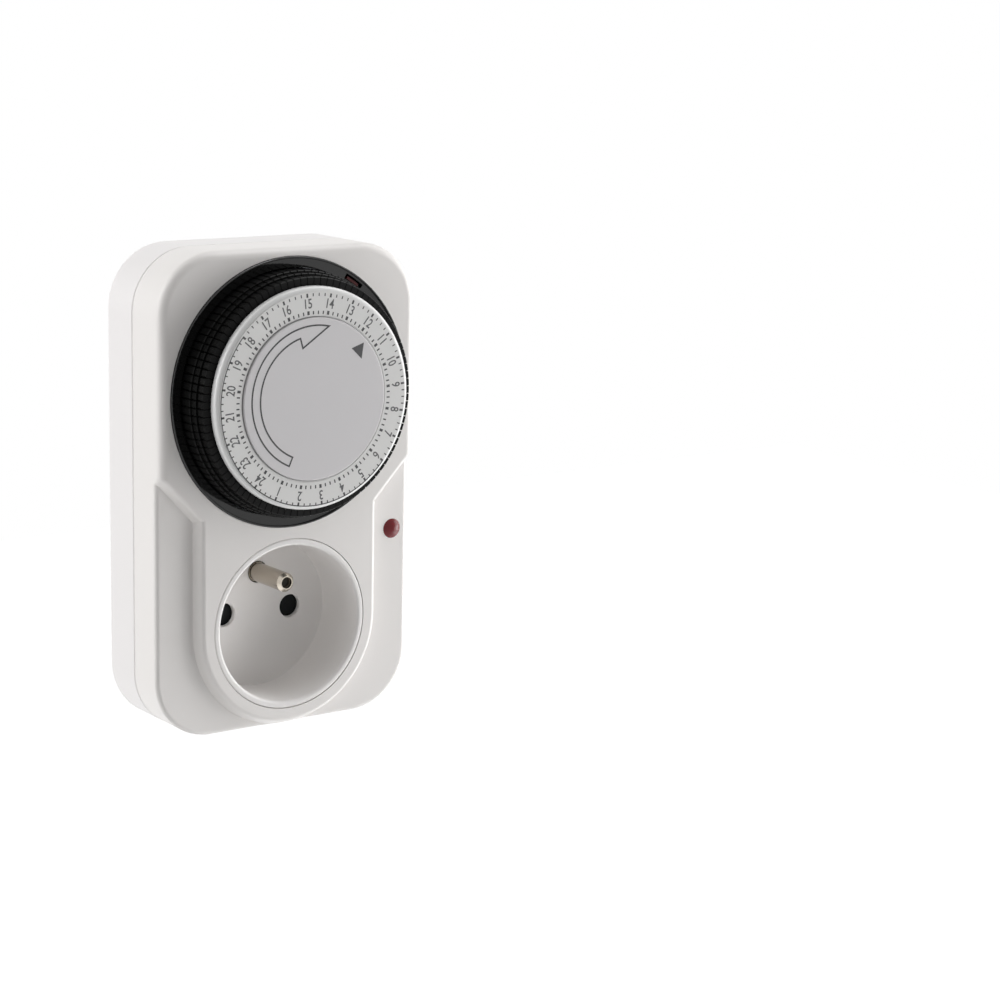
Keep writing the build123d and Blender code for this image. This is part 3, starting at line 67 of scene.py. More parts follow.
bpy.context.scene.camera = camera

# ---- studio --------------------------------------------------------------------------
# A pale floor far below the timer, which hangs on its plug, and a white surround. Large
# soft boxes stand behind it on the left, above it and on its right, and the dial shades
# the face on its left.
scene = bpy.context.scene
scene.view_settings.view_transform = "Standard"
surround_light = 0.2


def new_paint(name):
    """A material with nodes, its node tree and its Principled shader."""
    paint = bpy.data.materials.new(name)
    paint.use_nodes = True
    return paint, paint.node_tree, paint.node_tree.nodes["Principled BSDF"]


def shows_white(tree):
    """One value: 1 for what the camera, a reflection or glass sees, and 0 for soft light."""
    path = tree.nodes.new("ShaderNodeLightPath")
    seen = tree.nodes.new("ShaderNodeMath")
    seen.operation = "MAXIMUM"
    tree.links.new(path.outputs["Is Camera Ray"], seen.inputs[0])
    tree.links.new(path.outputs["Is Glossy Ray"], seen.inputs[1])
    white = tree.nodes.new("ShaderNodeMath")
    white.operation = "MAXIMUM"
    tree.links.new(seen.outputs[0], white.inputs[0])
    tree.links.new(path.outputs["Is Transmission Ray"], white.inputs[1])
    return white.outputs[0]


surround = bpy.data.worlds.new("white surround")
scene.world = surround
surround.use_nodes = True
tree = surround.node_tree
background = tree.nodes["Background"]
background.inputs["Color"].default_value = (1, 1, 1, 1)
strength = tree.nodes.new("ShaderNodeMapRange")
strength.inputs["To Min"].default_value = surround_light
strength.inputs["To Max"].default_value = 1.0
tree.links.new(shows_white(tree), strength.inputs["Value"])
tree.links.new(strength.outputs["Result"], background.inputs["Strength"])

floor_z = -0.6
floor_reach = 2.5
floor_mesh = bpy.data.meshes.new("floor")
floor_mesh.from_pydata(
    [
        (x * floor_reach, y * floor_reach, floor_z)
        for x, y in ((-1, -1), (1, -1), (1, 1), (-1, 1))
    ],
    [],
    [(0, 1, 2, 3)],
)
floor = bpy.data.objects.new("floor", floor_mesh)
scene.collection.objects.link(floor)
floor_paint, tree, shader = new_paint("pale floor")
shader.inputs["Base Color"].default_value = (0.9, 0.9, 0.9, 1)
shader.inputs["Roughness"].default_value = 0.9
shader.inputs["Emission Color"].default_value = (1, 1, 1, 1)
glow = tree.nodes.new("ShaderNodeMath")
glow.operation = "MULTIPLY"
glow.inputs[1].default_value = 0.85
tree.links.new(shows_white(tree), glow.inputs[0])
tree.links.new(glow.outputs[0], shader.inputs["Emission Strength"])
floor_mesh.materials.append(floor_paint)
timer_middle = Vector((0.0, -0.03, 0.033))


def soft_box(name, place, size, watts):
    """A lamp behind a white cloth, turned towards the middle of the timer."""
    lamp = bpy.data.objects.new(name, bpy.data.lights.new(name, "AREA"))
    lamp.data.shape = "RECTANGLE"
    lamp.data.size, lamp.data.size_y = size
    lamp.data.energy = watts
    lamp.location = place
    aim = timer_middle - Vector(place)
    lamp.rotation_euler = aim.to_track_quat("-Z", "Y").to_euler()
    scene.collection.objects.link(lamp)


soft_box("left box", (-0.95, 0.1, 0.15), (0.7, 0.9), 3.2)
soft_box("back box", (-0.85, 0.5, 0.5), (0.7, 0.9), 6.0)
soft_box("top box", (0.5, -0.1, 0.85), (0.7, 0.7), 4.7)
soft_box("right box", (0.95, -0.35, 0.1), (0.6, 0.9), 5.7)
soft_box("low box", (0.8, -0.45, -0.3), (0.7, 0.7), 4.1)

# ---- case covers ---------------------------------------------------------------------
# Two shells of white ABS, moulded in a spark-textured tool. The front one is a little
# smoother; both have the soft gloss of a fine satin texture.


def node_group(name, inputs, outputs):
    """A new shader node group with float or colour sockets."""
    group = bpy.data.node_groups.new(name, "ShaderNodeTree")
    for label, kind, value in inputs:
        socket = group.interface.new_socket(label, in_out="INPUT", socket_type=kind)
        socket.default_value = value
    for label, kind in outputs:
        group.interface.new_socket(label, in_out="OUTPUT", socket_type=kind)
    return group, group.nodes.new("NodeGroupInput"), group.nodes.new("NodeGroupOutput")


# Moulded skin: a fine spark texture, broad flow marks in the gloss and a faint change of tint.
moulded_skin, skin_in, skin_out = node_group(
    "moulded skin",
    [
        ("Tint", "NodeSocketColor", (0.8, 0.8, 0.8, 1)),
        ("Roughness", "NodeSocketFloat", 0.4),
        ("Grain", "NodeSocketFloat", 5000.0),
        ("Depth", "NodeSocketFloat", 0.1),
    ],
    [
        ("Color", "NodeSocketColor"),
        ("Roughness", "NodeSocketFloat"),
        ("Normal", "NodeSocketVector"),
    ],
)
place = moulded_skin.nodes.new("ShaderNodeTexCoord")
grain = moulded_skin.nodes.new("ShaderNodeTexNoise")
grain.inputs["Detail"].default_value = 3.0
moulded_skin.links.new(place.outputs["Object"], grain.inputs["Vector"])
moulded_skin.links.new(skin_in.outputs["Grain"], grain.inputs["Scale"])
flow = moulded_skin.nodes.new("ShaderNodeTexNoise")
flow.inputs["Scale"].default_value = 45.0
flow.inputs["Detail"].default_value = 4.0
moulded_skin.links.new(place.outputs["Object"], flow.inputs["Vector"])
bump = moulded_skin.nodes.new("ShaderNodeBump")
bump.inputs["Distance"].default_value = 0.00002
moulded_skin.links.new(grain.outputs["Fac"], bump.inputs["Height"])
moulded_skin.links.new(skin_in.outputs["Depth"], bump.inputs["Strength"])
moulded_skin.links.new(bump.outputs["Normal"], skin_out.inputs["Normal"])
gloss_shift = moulded_skin.nodes.new("ShaderNodeMapRange")
gloss_shift.inputs["To Min"].default_value = -0.03
gloss_shift.inputs["To Max"].default_value = 0.03
moulded_skin.links.new(flow.outputs["Fac"], gloss_shift.inputs["Value"])
gloss = moulded_skin.nodes.new("ShaderNodeMath")
gloss.operation = "ADD"
moulded_skin.links.new(skin_in.outputs["Roughness"], gloss.inputs[0])
moulded_skin.links.new(gloss_shift.outputs["Result"], gloss.inputs[1])
moulded_skin.links.new(gloss.outputs[0], skin_out.inputs["Roughness"])
shade = moulded_skin.nodes.new("ShaderNodeMapRange")
shade.inputs["To Min"].default_value = 0.99
shade.inputs["To Max"].default_value = 1.01
moulded_skin.links.new(flow.outputs["Fac"], shade.inputs["Value"])
tinted = moulded_skin.nodes.new("ShaderNodeVectorMath")
tinted.operation = "SCALE"
moulded_skin.links.new(skin_in.outputs["Tint"], tinted.inputs[0])
moulded_skin.links.new(shade.outputs["Result"], tinted.inputs["Scale"])
moulded_skin.links.new(tinted.outputs["Vector"], skin_out.inputs["Color"])


def moulded(name, tint, roughness, grain_scale, depth, shine=0.5):
    """A moulded plastic: the skin group on a Principled shader. Shine is its specular level."""
    paint, tree, shader = new_paint(name)
    skin = tree.nodes.new("ShaderNodeGroup")
    skin.node_tree = moulded_skin
    skin.inputs["Tint"].default_value = (*tint, 1)
    skin.inputs["Roughness"].default_value = roughness
    skin.inputs["Grain"].default_value = grain_scale
    skin.inputs["Depth"].default_value = depth
    tree.links.new(skin.outputs["Color"], shader.inputs["Base Color"])
    tree.links.new(skin.outputs["Roughness"], shader.inputs["Roughness"])
    tree.links.new(skin.outputs["Normal"], shader.inputs["Normal"])
    shader.inputs["Specular IOR Level"].default_value = shine
    return paint


def finish(material, *names):
    """Gives CAD nodes a material."""
    for name in names:
        nodes[name].data.materials.clear()
        nodes[name].data.materials.append(material)


finish(moulded("white case", (0.855, 0.83, 0.81), 0.4, 5200.0, 0.25), "front_cover")
finish(moulded("white rear case", (0.86, 0.838, 0.832), 0.42, 5200.0, 0.3), "rear_cover")

# ---- socket --------------------------------------------------------------------------
# A cup of tougher white plastic set in the front cover, smooth inside so that a plug
# slides home. The shutter behind the two live holes is dark.
finish(moulded("white socket cup", (0.9, 0.88, 0.865), 0.45, 7000.0, 0.12), "socket_insert")
finish(moulded("dark shutter", (0.004, 0.005, 0.005), 0.4, 6000.0, 0.2, 0.12), "shutter")

# ---- ring round the dial -------------------------------------------------------------
# A polished black ABS ring, pressed into its seat; the tool was mirror finished.
finish(moulded("polished black ring", (0.01, 0.01, 0.01), 0.06, 3000.0, 0.03), "dial_bezel")

# ---- tappets and their drum ----------------------------------------------------------
# Black acetal, matt from the mould, with the faint shine of parts that fingers have pushed.
tappet_names = sorted(name for name in nodes if name.startswith("tappets_"))
finish(moulded("black acetal", (0.004, 0.004, 0.004), 0.3, 6000.0, 0.25, 0.1), *tappet_names)
finish(moulded("black drum", (0.003, 0.003, 0.003), 0.45, 6000.0, 0.3, 0.1), "tappet_drum")

# ---- hour disc and scale -------------------------------------------------------------
# A white disc that turns with the drum. Its scale is printed on a thin paper-white label:
# a tick for each quarter of an hour inside and outside, and the hours from 1 to 24.
disc_low, disc_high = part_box("hour_disc")
label_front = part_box("scale_label")[0].y
dial_x = 0.0
dial_z = (disc_low.z + disc_high.z) / 2
finish(moulded("white disc", (0.8, 0.8, 0.795), 0.22, 4000.0, 0.06), "hour_disc")
finish(moulded("white label", (0.72, 0.715, 0.705), 0.5, 9000.0, 0.15), "scale_label")

ink_depth = 0.00003
ink_sunk = 0.00001
midnight_turn = radians(220.0)
hours = 24
hour_turn = 2 * pi / hours
quarters_an_hour = 4


def dial_point(radius, clockwise):
    """X and Z on the dial: the radius times the sine and cosine of the turn from the top."""
    return dial_x + radius * np.sin(clockwise), dial_z + radius * np.cos(clockwise)


def ink_blocks(front_y, corners):
    """Closed blocks from flat four-cornered marks.

    corners has the shape (marks, 4, 2), in X and Z, clockwise as seen from the front. Each
    mark is repeated at the back of the ink, and six outward faces close the block.
    """
    count = len(corners)
    points = np.empty((count, 8, 3))
    points[:, :4, (0, 2)] = corners
    points[:, 4:, (0, 2)] = corners
    points[:, :4, 1] = front_y - ink_depth + ink_sunk
    points[:, 4:, 1] = front_y + ink_sunk
    block_faces = np.array(
        [(3, 2, 1, 0), (4, 5, 6, 7), (1, 5, 4, 0), (2, 6, 5, 1), (3, 7, 6, 2), (0, 4, 7, 3)]
    )
    faces = (np.arange(count)[:, None, None] * 8 + block_faces).reshape(-1, 4)
    return points.reshape(-1, 3), faces.tolist()


def new_piece(name, points, faces):
    """An object from an array of points and a list of faces, which point outwards."""
    mesh = bpy.data.meshes.new(name)
    mesh.from_pydata(points.tolist(), [], faces)
    piece = bpy.data.objects.new(name, mesh)
    scene.collection.objects.link(piece)
    return piece


def tick_corners(turns, inner, outer, width):
    """The corners of radial marks: from an inner to an outer radius, of a constant width."""
    half = width / 2
    across_x, across_z = np.cos(turns), -np.sin(turns)
    corners = []
    for radius, side in ((inner, -1), (outer, -1), (outer, 1), (inner, 1)):
        x, z = dial_point(radius, turns)
        corners.append(
            np.stack((x + side * half * across_x, z + side * half * across_z), axis=-1)
        )
    return np.stack(corners, axis=1)


print_drop = 0.00027  # the print lies a little below the disc's centre
quarters = np.arange(hours * quarters_an_hour)
quarter_turns = midnight_turn - quarters * hour_turn / quarters_an_hour
on_hour = quarters % quarters_an_hour == 0
# two rings of marks, the outer one first: on which quarters, from what radius, to what
# radius, and how wide
mark_rings = (
    (on_hour, 0.02487, 0.02582, 0.00050),
    (~on_hour, 0.02505, 0.02580, 0.00027),
    (on_hour, 0.02070, 0.02162, 0.00064),
    (~on_hour, 0.02072, 0.02155, 0.00033),
)
marks = np.concatenate(
    [
        tick_corners(quarter_turns[chosen], inner, outer, width)
        for chosen, inner, outer, width in mark_rings
    ]
)
marks[..., 1] -= print_drop
tick_print = new_piece("scale_ticks", *ink_blocks(label_front, marks))


def ink_arc(front_y, inner, outer, turns):
    """A printed arc: a rectangle of inner and outer radius, and of the ink's depth, carried
    round the dial through the turns, with a face at each end."""
    count = len(turns)
    points = np.empty((count, 4, 3))
    for corner, radius in enumerate((inner, outer, outer, inner)):
        points[:, corner, 0], points[:, corner, 2] = dial_point(radius, turns)
    points[:, :2, 1] = front_y - ink_depth + ink_sunk
    points[:, 2:, 1] = front_y + ink_sunk
    here = np.arange(count - 1)[:, None] * 4
    there = here + 4
    sides = [
        np.concatenate((here + first, here + second, there + second, there + first), axis=1)
        for first, second in ((1, 0), (2, 1), (3, 2), (0, 3))
    ]
    ends = [(0, 1, 2, 3), tuple(4 * (count - 1) + corner for corner in (3, 2, 1, 0))]
    return points.reshape(-1, 3), np.concatenate((*sides, ends)).tolist()


# painted shade: a dark line along the outer marks, from 18 round the lower left to 6, where the
# raised label's edge is in shade
shade_from_hour = 18
shade_to_hour = 6 + hours
edge_shade_inner = 0.02560
edge_shade_outer = 0.02584
edge_shade_steps = 120
edge_shade_turns = np.linspace(
    midnight_turn - shade_to_hour * hour_turn,
    midnight_turn - shade_from_hour * hour_turn,
    edge_shade_steps,
)
edge_shade_points, edge_shade_faces = ink_arc(label_front, edge_shade_inner, edge_shade_outer, edge_shade_turns)
edge_shade_points[:, 2] -= print_drop
edge_shade_print = new_piece("painted_edge_shade", edge_shade_points, edge_shade_faces)


def ink(name, tint):
    """Printing ink: a dark film with uneven cover and a slight gloss."""
    paint, tree, shader = new_paint(name)
    place = tree.nodes.new("ShaderNodeTexCoord")
    cover = tree.nodes.new("ShaderNodeTexNoise")
    cover.inputs["Scale"].default_value = 2500.0
    cover.inputs["Detail"].default_value = 2.0
    tree.links.new(place.outputs["Object"], cover.inputs["Vector"])
    thin_tint = [value * 1.4 + 0.01 for value in tint]  # a thin film lets the paper through
    film = tree.nodes.new("ShaderNodeMix")
    film.data_type = "RGBA"
    film.inputs["A"].default_value = (*tint, 1)
    film.inputs["B"].default_value = (*thin_tint, 1)
    tree.links.new(cover.outputs["Fac"], film.inputs["Factor"])
    tree.links.new(film.outputs["Result"], shader.inputs["Base Color"])
    roughness = tree.nodes.new("ShaderNodeMapRange")
    roughness.inputs["To Min"].default_value = 0.35
    roughness.inputs["To Max"].default_value = 0.6
    tree.links.new(cover.outputs["Fac"], roughness.inputs["Value"])
    tree.links.new(roughness.outputs["Result"], shader.inputs["Roughness"])
    return paint


scale_ink = ink("scale ink", (0.028, 0.028, 0.03))
number_ink = ink("number ink", (0.07, 0.07, 0.072))
digit_height = 0.0024
digit_size_share = 0.73  # a digit's height over the size of its type
digit_width_share = 0.78
digit_weight = 0.00004
number_radius = 0.02325
numbers = []
for hour in range(1, hours + 1):
    words = bpy.data.curves.new(f"hour {hour}", "FONT")
    words.body = str(hour)
    words.size = digit_height / digit_size_share
    words.align_x = "CENTER"
    words.align_y = "CENTER"
    words.extrude = ink_depth / 2
    words.offset = digit_weight
    words.resolution_u = 3
    written = bpy.data.objects.new(f"hour {hour}", words)
    scene.collection.objects.link(written)
    turn = midnight_turn - hour * hour_turn
    x, z = dial_point(number_radius, turn)
    # text lies in X and Y facing +Z: it is narrowed, stood up to face the user, then turned
    written.matrix_world = (
        Matrix.Translation((x, label_front - ink_depth / 2 + ink_sunk, z - print_drop))
        @ Matrix.Rotation(turn, 4, "Y")
        @ Matrix.Rotation(pi / 2, 4, "X")
        @ Matrix.Diagonal((digit_width_share, 1, 1, 1))
    )
    numbers.append(written)
bpy.context.view_layer.update()
number_points = []
number_faces = []
for written in numbers:
    flat = bpy.data.meshes.new_from_object(written)
    flat.transform(written.matrix_world)
    start = len(number_points)
    number_points += [tuple(vertex.co) for vertex in flat.vertices]
    number_faces += [[start + index for index in face.vertices] for face in flat.polygons]
    bpy.data.objects.remove(written)
number_print = new_piece("scale_numbers", np.array(number_points), number_faces)
for piece, film in (
    (tick_print, scale_ink),
    # the painted shade line at the label's edge takes the scale's ink
    (edge_shade_print, scale_ink),
    (number_print, number_ink),
):
    piece.data.materials.append(film)
    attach(piece, "dial")

# ---- centre disc ---------------------------------------------------------------------
# A grey-white disc on the end of the spindle, which stays still: an outlined arrow shows
# which way the dial turns, and a solid mark is where the time is read.
centre_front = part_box("centre_disc")[0].y
finish(moulded("centre disc", (0.665, 0.65, 0.66), 0.3, 9000.0, 0.08), "centre_disc")


def ink_line(front_y, path, width):
    """A closed drawn line: each side of the path is offset by half the width along the mean
    normal of its two neighbouring runs, lengthened so that the runs keep their width."""
    bluntest = 0.35  # at a sharp corner the offset grows to three times half the width
    before = path - np.roll(path, 1, axis=0)
    after = np.roll(path, -1, axis=0) - path
    before /= np.linalg.norm(before, axis=1, keepdims=True)
    after /= np.linalg.norm(after, axis=1, keepdims=True)
    along = before + after
    along /= np.linalg.norm(along, axis=1, keepdims=True)
    across = np.stack((-along[:, 1], along[:, 0]), axis=1)
    stretch = 1 / np.maximum(np.sum(along * after, axis=1), bluntest)
    offset = across * (width / 2 * stretch)[:, None]
    left, right = path + offset, path - offset
    count = len(path)
    points = np.empty((count, 4, 3))
    points[:, 0, (0, 2)] = points[:, 1, (0, 2)] = left
    points[:, 2, (0, 2)] = points[:, 3, (0, 2)] = right
    points[:, (0, 3), 1] = front_y - ink_depth + ink_sunk
    points[:, (1, 2), 1] = front_y + ink_sunk
    here = np.arange(count)[:, None] * 4
    there = np.roll(here, -1, axis=0)
    faces = [
        np.concatenate((here + first, here + second, there + second, there + first), axis=1)
        for first, second in ((1, 0), (2, 1), (3, 2), (0, 3))
    ]
    return points.reshape(-1, 3), np.concatenate(faces).tolist()


arrow_rise = 0.00035  # the arrow's centre above the disc's
arrow_inner = 0.0152
arrow_outer = 0.0175
arrow_tail = radians(-155.6)
arrow_neck = radians(-16.2)
arrow_barb = 0.0127
arrow_tip = radians(12.4)
arrow_line = 0.00040
outer_points = 90
inner_points = 80
outer_turns = np.linspace(arrow_tail, arrow_tip, outer_points)
inner_turns = np.linspace(arrow_neck, arrow_tail, inner_points)
arrow_path = np.concatenate(
    [
        np.stack(dial_point(arrow_outer, outer_turns), axis=1),
        np.stack(dial_point(arrow_barb, np.array([arrow_neck])), axis=1),
        np.stack(dial_point(arrow_inner, inner_turns), axis=1),
    ]
)
arrow_path[:, 1] += arrow_rise
arrow_print = new_piece("turn_arrow", *ink_line(centre_front, arrow_path, arrow_line))
# the time mark's three corners: its point, nearest the rim, and the two ends of its base
marker_turns = np.radians([47.7, 56.9, 42.1])
marker_radii = np.array([0.0185, 0.0156, 0.0152])
marker = np.stack(dial_point(marker_radii, marker_turns), axis=1)
marker[:, 1] += arrow_rise
marker_corners = np.stack((*marker, (marker[2] + marker[0]) / 2))[None]
marker_print = new_piece("time_mark", *ink_blocks(centre_front, marker_corners))
centre_ink = ink("centre ink", (0.016, 0.016, 0.018))
for piece in (arrow_print, marker_print):
    piece.data.materials.append(centre_ink)
    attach(piece, "case")

# ---- lamp ----------------------------------------------------------------------------
# A red acrylic lens that snaps into the lower shoulder, with the neon glow lamp behind it.
finish(moulded("red acrylic", (0.16, 0.005, 0.009), 0.2, 2500.0, 0.05, 0.3), "lamp_lens")

# ---- metal pieces --------------------------------------------------------------------
# Turned, drawn and stamped metals: nickel on brass for the pins, bare brass for the
# contacts, zinc-plated steel for the plate and the motor can, and bright steel for the
# spindle, axle and screws.
worked_metal, metal_in, metal_out = node_group(
    "worked metal",
    [
        ("Tint", "NodeSocketColor", (0.7, 0.7, 0.7, 1)),
        ("Roughness", "NodeSocketFloat", 0.25),
        ("Marks", "NodeSocketFloat", 900.0),
    ],
    [
        ("Color", "NodeSocketColor"),
        ("Roughness", "NodeSocketFloat"),
        ("Normal", "NodeSocketVector"),
    ],
)
place = worked_metal.nodes.new("ShaderNodeTexCoord")
stretch = worked_metal.nodes.new("ShaderNodeMapping")
stretch.inputs["Scale"].default_value = (0.25, 4.0, 0.25)
worked_metal.links.new(place.outputs["Object"], stretch.inputs["Vector"])
marks_noise = worked_metal.nodes.new("ShaderNodeTexNoise")
marks_noise.inputs["Detail"].default_value = 4.0
worked_metal.links.new(stretch.outputs["Vector"], marks_noise.inputs["Vector"])
worked_metal.links.new(metal_in.outputs["Marks"], marks_noise.inputs["Scale"])
metal_bump = worked_metal.nodes.new("ShaderNodeBump")
metal_bump.inputs["Distance"].default_value = 0.00001
metal_bump.inputs["Strength"].default_value = 0.3
worked_metal.links.new(marks_noise.outputs["Fac"], metal_bump.inputs["Height"])
worked_metal.links.new(metal_bump.outputs["Normal"], metal_out.inputs["Normal"])
metal_gloss = worked_metal.nodes.new("ShaderNodeMapRange")
metal_gloss.inputs["To Min"].default_value = -0.08
metal_gloss.inputs["To Max"].default_value = 0.08
worked_metal.links.new(marks_noise.outputs["Fac"], metal_gloss.inputs["Value"])
metal_sum = worked_metal.nodes.new("ShaderNodeMath")
metal_sum.operation = "ADD"
worked_metal.links.new(metal_in.outputs["Roughness"], metal_sum.inputs[0])
worked_metal.links.new(metal_gloss.outputs["Result"], metal_sum.inputs[1])
worked_metal.links.new(metal_sum.outputs[0], metal_out.inputs["Roughness"])
tarnish = worked_metal.nodes.new("ShaderNodeTexNoise")
tarnish.inputs["Scale"].default_value = 180.0
worked_metal.links.new(place.outputs["Object"], tarnish.inputs["Vector"])
tarnish_range = worked_metal.nodes.new("ShaderNodeMapRange")
tarnish_range.inputs["To Min"].default_value = 0.9
tarnish_range.inputs["To Max"].default_value = 1.05
worked_metal.links.new(tarnish.outputs["Fac"], tarnish_range.inputs["Value"])
metal_tint = worked_metal.nodes.new("ShaderNodeVectorMath")
metal_tint.operation = "SCALE"
worked_metal.links.new(metal_in.outputs["Tint"], metal_tint.inputs[0])
worked_metal.links.new(tarnish_range.outputs["Result"], metal_tint.inputs["Scale"])
worked_metal.links.new(metal_tint.outputs["Vector"], metal_out.inputs["Color"])


def metal(name, tint, roughness, mark_scale):
    """A bare or plated metal: the worked metal group on a Principled shader."""
    paint, tree, shader = new_paint(name)
    shader.inputs["Metallic"].default_value = 1.0
    worked = tree.nodes.new("ShaderNodeGroup")
    worked.node_tree = worked_metal
    worked.inputs["Tint"].default_value = (*tint, 1)
    worked.inputs["Roughness"].default_value = roughness
    worked.inputs["Marks"].default_value = mark_scale
    tree.links.new(worked.outputs["Color"], shader.inputs["Base Color"])
    tree.links.new(worked.outputs["Roughness"], shader.inputs["Roughness"])
    tree.links.new(worked.outputs["Normal"], shader.inputs["Normal"])
    return paint


nickel = metal("nickel plate", (0.56, 0.52, 0.45), 0.2, 1500.0)
finish(nickel, "live_pin", "neutral_pin", "earth_sleeve")

# A mask of the distance from an axis along Y: 0 within a radius and 1 beyond it.
round_axis, axis_in, axis_out = node_group(
    "beyond a radius",
    [
        ("Centre", "NodeSocketVector", (0, 0, 0)),
        ("Radius", "NodeSocketFloat", 0.02),
        ("Width", "NodeSocketFloat", 0.0001),
    ],
    [("Mask", "NodeSocketFloat")],
)
place = round_axis.nodes.new("ShaderNodeTexCoord")
from_centre = round_axis.nodes.new("ShaderNodeVectorMath")
from_centre.operation = "SUBTRACT"
round_axis.links.new(place.outputs["Object"], from_centre.inputs[0])
round_axis.links.new(axis_in.outputs["Centre"], from_centre.inputs[1])
in_plane = round_axis.nodes.new("ShaderNodeVectorMath")
in_plane.operation = "MULTIPLY"
in_plane.inputs[1].default_value = (1, 0, 1)
round_axis.links.new(from_centre.outputs["Vector"], in_plane.inputs[0])
far = round_axis.nodes.new("ShaderNodeVectorMath")
far.operation = "LENGTH"
round_axis.links.new(in_plane.outputs["Vector"], far.inputs[0])
past = round_axis.nodes.new("ShaderNodeMath")
past.operation = "SUBTRACT"
round_axis.links.new(far.outputs["Value"], past.inputs[0])
round_axis.links.new(axis_in.outputs["Radius"], past.inputs[1])
share = round_axis.nodes.new("ShaderNodeMath")
share.operation = "DIVIDE"
share.use_clamp = True
round_axis.links.new(past.outputs[0], share.inputs[0])
round_axis.links.new(axis_in.outputs["Width"], share.inputs[1])
round_axis.links.new(share.outputs[0], axis_out.inputs["Mask"])


def darken_beyond(paint, centre, radius, tint, inside=False):
    """Turns a material's colour to a tint beyond a radius from an axis along Y, or within it.

    The colour changes over 0.05 mm.
    """
    tree = paint.node_tree
    colour = tree.nodes["Principled BSDF"].inputs["Base Color"]
    source = colour.links[0].from_socket
    mask = tree.nodes.new("ShaderNodeGroup")
    mask.node_tree = round_axis
    mask.inputs["Centre"].default_value = centre
    mask.inputs["Radius"].default_value = radius
    mask.inputs["Width"].default_value = 0.00005
    blend = tree.nodes.new("ShaderNodeMix")
    blend.data_type = "RGBA"
    tree.links.new(mask.outputs["Mask"], blend.inputs["Factor"])
    plain, dark = ("B", "A") if inside else ("A", "B")
    tree.links.new(source, blend.inputs[plain])
    blend.inputs[dark].default_value = (*tint, 1)
    tree.links.new(blend.outputs["Result"], colour)


# Painted shade on the socket's earth pin: dark inside the drill hole at its tip, and dark
# beyond the pin's radius, where it enters the floor.
earth_paint = metal("earth pin nickel", (0.52, 0.47, 0.4), 0.2, 1500.0)
finish(earth_paint, "earth_pin")
earth_low, earth_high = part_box("earth_pin")
earth_axis = (0, 0, (earth_low.z + earth_high.z) / 2)
drilled_radius = 0.00140
shank_radius = 0.00244
shadow_tint = (0.02, 0.018, 0.015)
darken_beyond(earth_paint, earth_axis, drilled_radius, shadow_tint, inside=True)
darken_beyond(earth_paint, earth_axis, shank_radius, shadow_tint)
brass = metal("contact brass", (0.72, 0.52, 0.24), 0.3, 900.0)
finish(
    brass,
    "live_contact",
    "neutral_contact",
    "contact_leaf",
    "leaf_terminal",
    "fixed_contact",
    "motor_pinion",
)
zinc = metal("zinc plate", (0.6, 0.61, 0.64), 0.35, 500.0)
finish(zinc, "movement_plate", "motor_can")
steel = metal("bright steel", (0.58, 0.58, 0.59), 0.25, 1200.0)
finish(
    steel,
    "dial_spindle",
    "spindle_clip",
    "idler_axle",
    "plate_screws",
    "movement_screws",
    "case_screws",
    "feeler_pin",
)

# ---- shutter's spring ----------------------------------------------------------------
# A small coil of steel wire between the socket's seat and the shutter's tab. It shortens as
# a plug pushes the shutter down.
spring_low, spring_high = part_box("shutter_spring")
spring_wire = 0.0002  # the wire's radius
spring_turns = 7


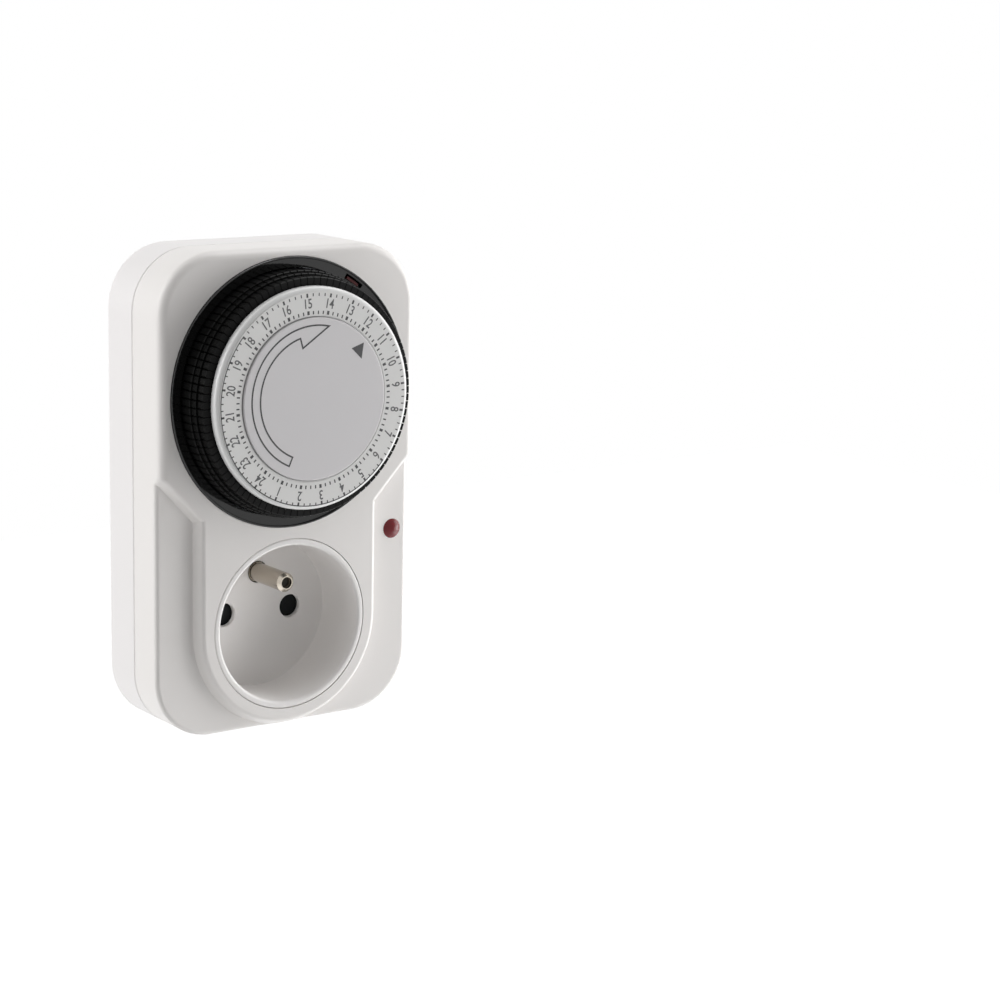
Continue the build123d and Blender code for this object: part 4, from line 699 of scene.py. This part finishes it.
def coil(low, high, wire, turns):
    """A round wire wound about a vertical axis, between two corners.

    With R the coil's radius and w the wire's, the point at the angle t round the coil and s
    round the wire lies R + w cos(s) from the axis, and w sin(s) above the wire's middle,
    which rises in step with t. A face closes each end.
    """
    radius = (high.x - low.x) / 2 - wire
    steps_a_turn = 24
    steps = turns * steps_a_turn
    sides = 10
    t = np.linspace(0, 2 * pi * turns, steps + 1)[:, None]
    s = np.linspace(0, 2 * pi, sides, endpoint=False)[None, :]
    middle_z = low.z + wire + (high.z - low.z - 2 * wire) * t / (2 * pi * turns)
    out = radius + wire * np.cos(s)
    points = np.stack(
        (
            (low.x + high.x) / 2 + out * np.cos(t),
            (low.y + high.y) / 2 + out * np.sin(t),
            middle_z + wire * np.sin(s),
        ),
        axis=-1,
    ).reshape(-1, 3)
    ring = np.arange(sides)
    first = np.arange(steps)[:, None] * sides
    here = first + ring
    beside = first + (ring + 1) % sides
    skin = np.stack((here, here + sides, beside + sides, beside), axis=-1).reshape(-1, 4)
    ends = [ring.tolist(), (ring[::-1] + steps * sides).tolist()]
    return points, skin.tolist() + ends


spring_coil = new_piece(
    "spring_coil", *coil(spring_low, spring_high, spring_wire, spring_turns)
)
spring_coil.data.shade_smooth()
spring_coil.data.materials.append(steel)
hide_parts("shutter_spring")
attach(spring_coil, "case")
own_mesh(spring_coil)

# ---- movement and switch -------------------------------------------------------------
# The moulded and wound pieces inside: natural nylon gears and plunger, a red feeler, black
# switch base and contact carrier, the motor's coil, the lamp's resistor and the wires.
nylon = moulded("natural nylon", (0.72, 0.7, 0.62), 0.38, 3500.0, 0.15)
finish(nylon, "dial_gear", "idler_gear", "switch_plunger")
finish(moulded("red feeler", (0.07, 0.003, 0.003), 0.35, 4000.0, 0.15, 0.2), "feeler_lever")
phenolic = moulded("black phenolic", (0.03, 0.03, 0.03), 0.4, 2500.0, 0.3)
finish(phenolic, "switch_base", "contact_carrier")
finish(moulded("taped coil", (0.35, 0.13, 0.05), 0.35, 800.0, 0.4), "motor_coil")
finish(moulded("neon glass", (0.5, 0.35, 0.28), 0.08, 2000.0, 0.02), "neon_lamp")
finish(moulded("resistor lacquer", (0.5, 0.38, 0.22), 0.3, 1800.0, 0.1), "lamp_resistor")
finish(moulded("brown insulation", (0.12, 0.05, 0.02), 0.4, 3000.0, 0.15), "live_wire")
finish(moulded("black insulation", (0.02, 0.02, 0.02), 0.4, 3000.0, 0.15), "load_wire")
finish(moulded("red insulation", (0.35, 0.02, 0.02), 0.4, 3000.0, 0.15), "lamp_leads")
finish(moulded("blue insulation", (0.02, 0.06, 0.3), 0.4, 3000.0, 0.15), "motor_leads")
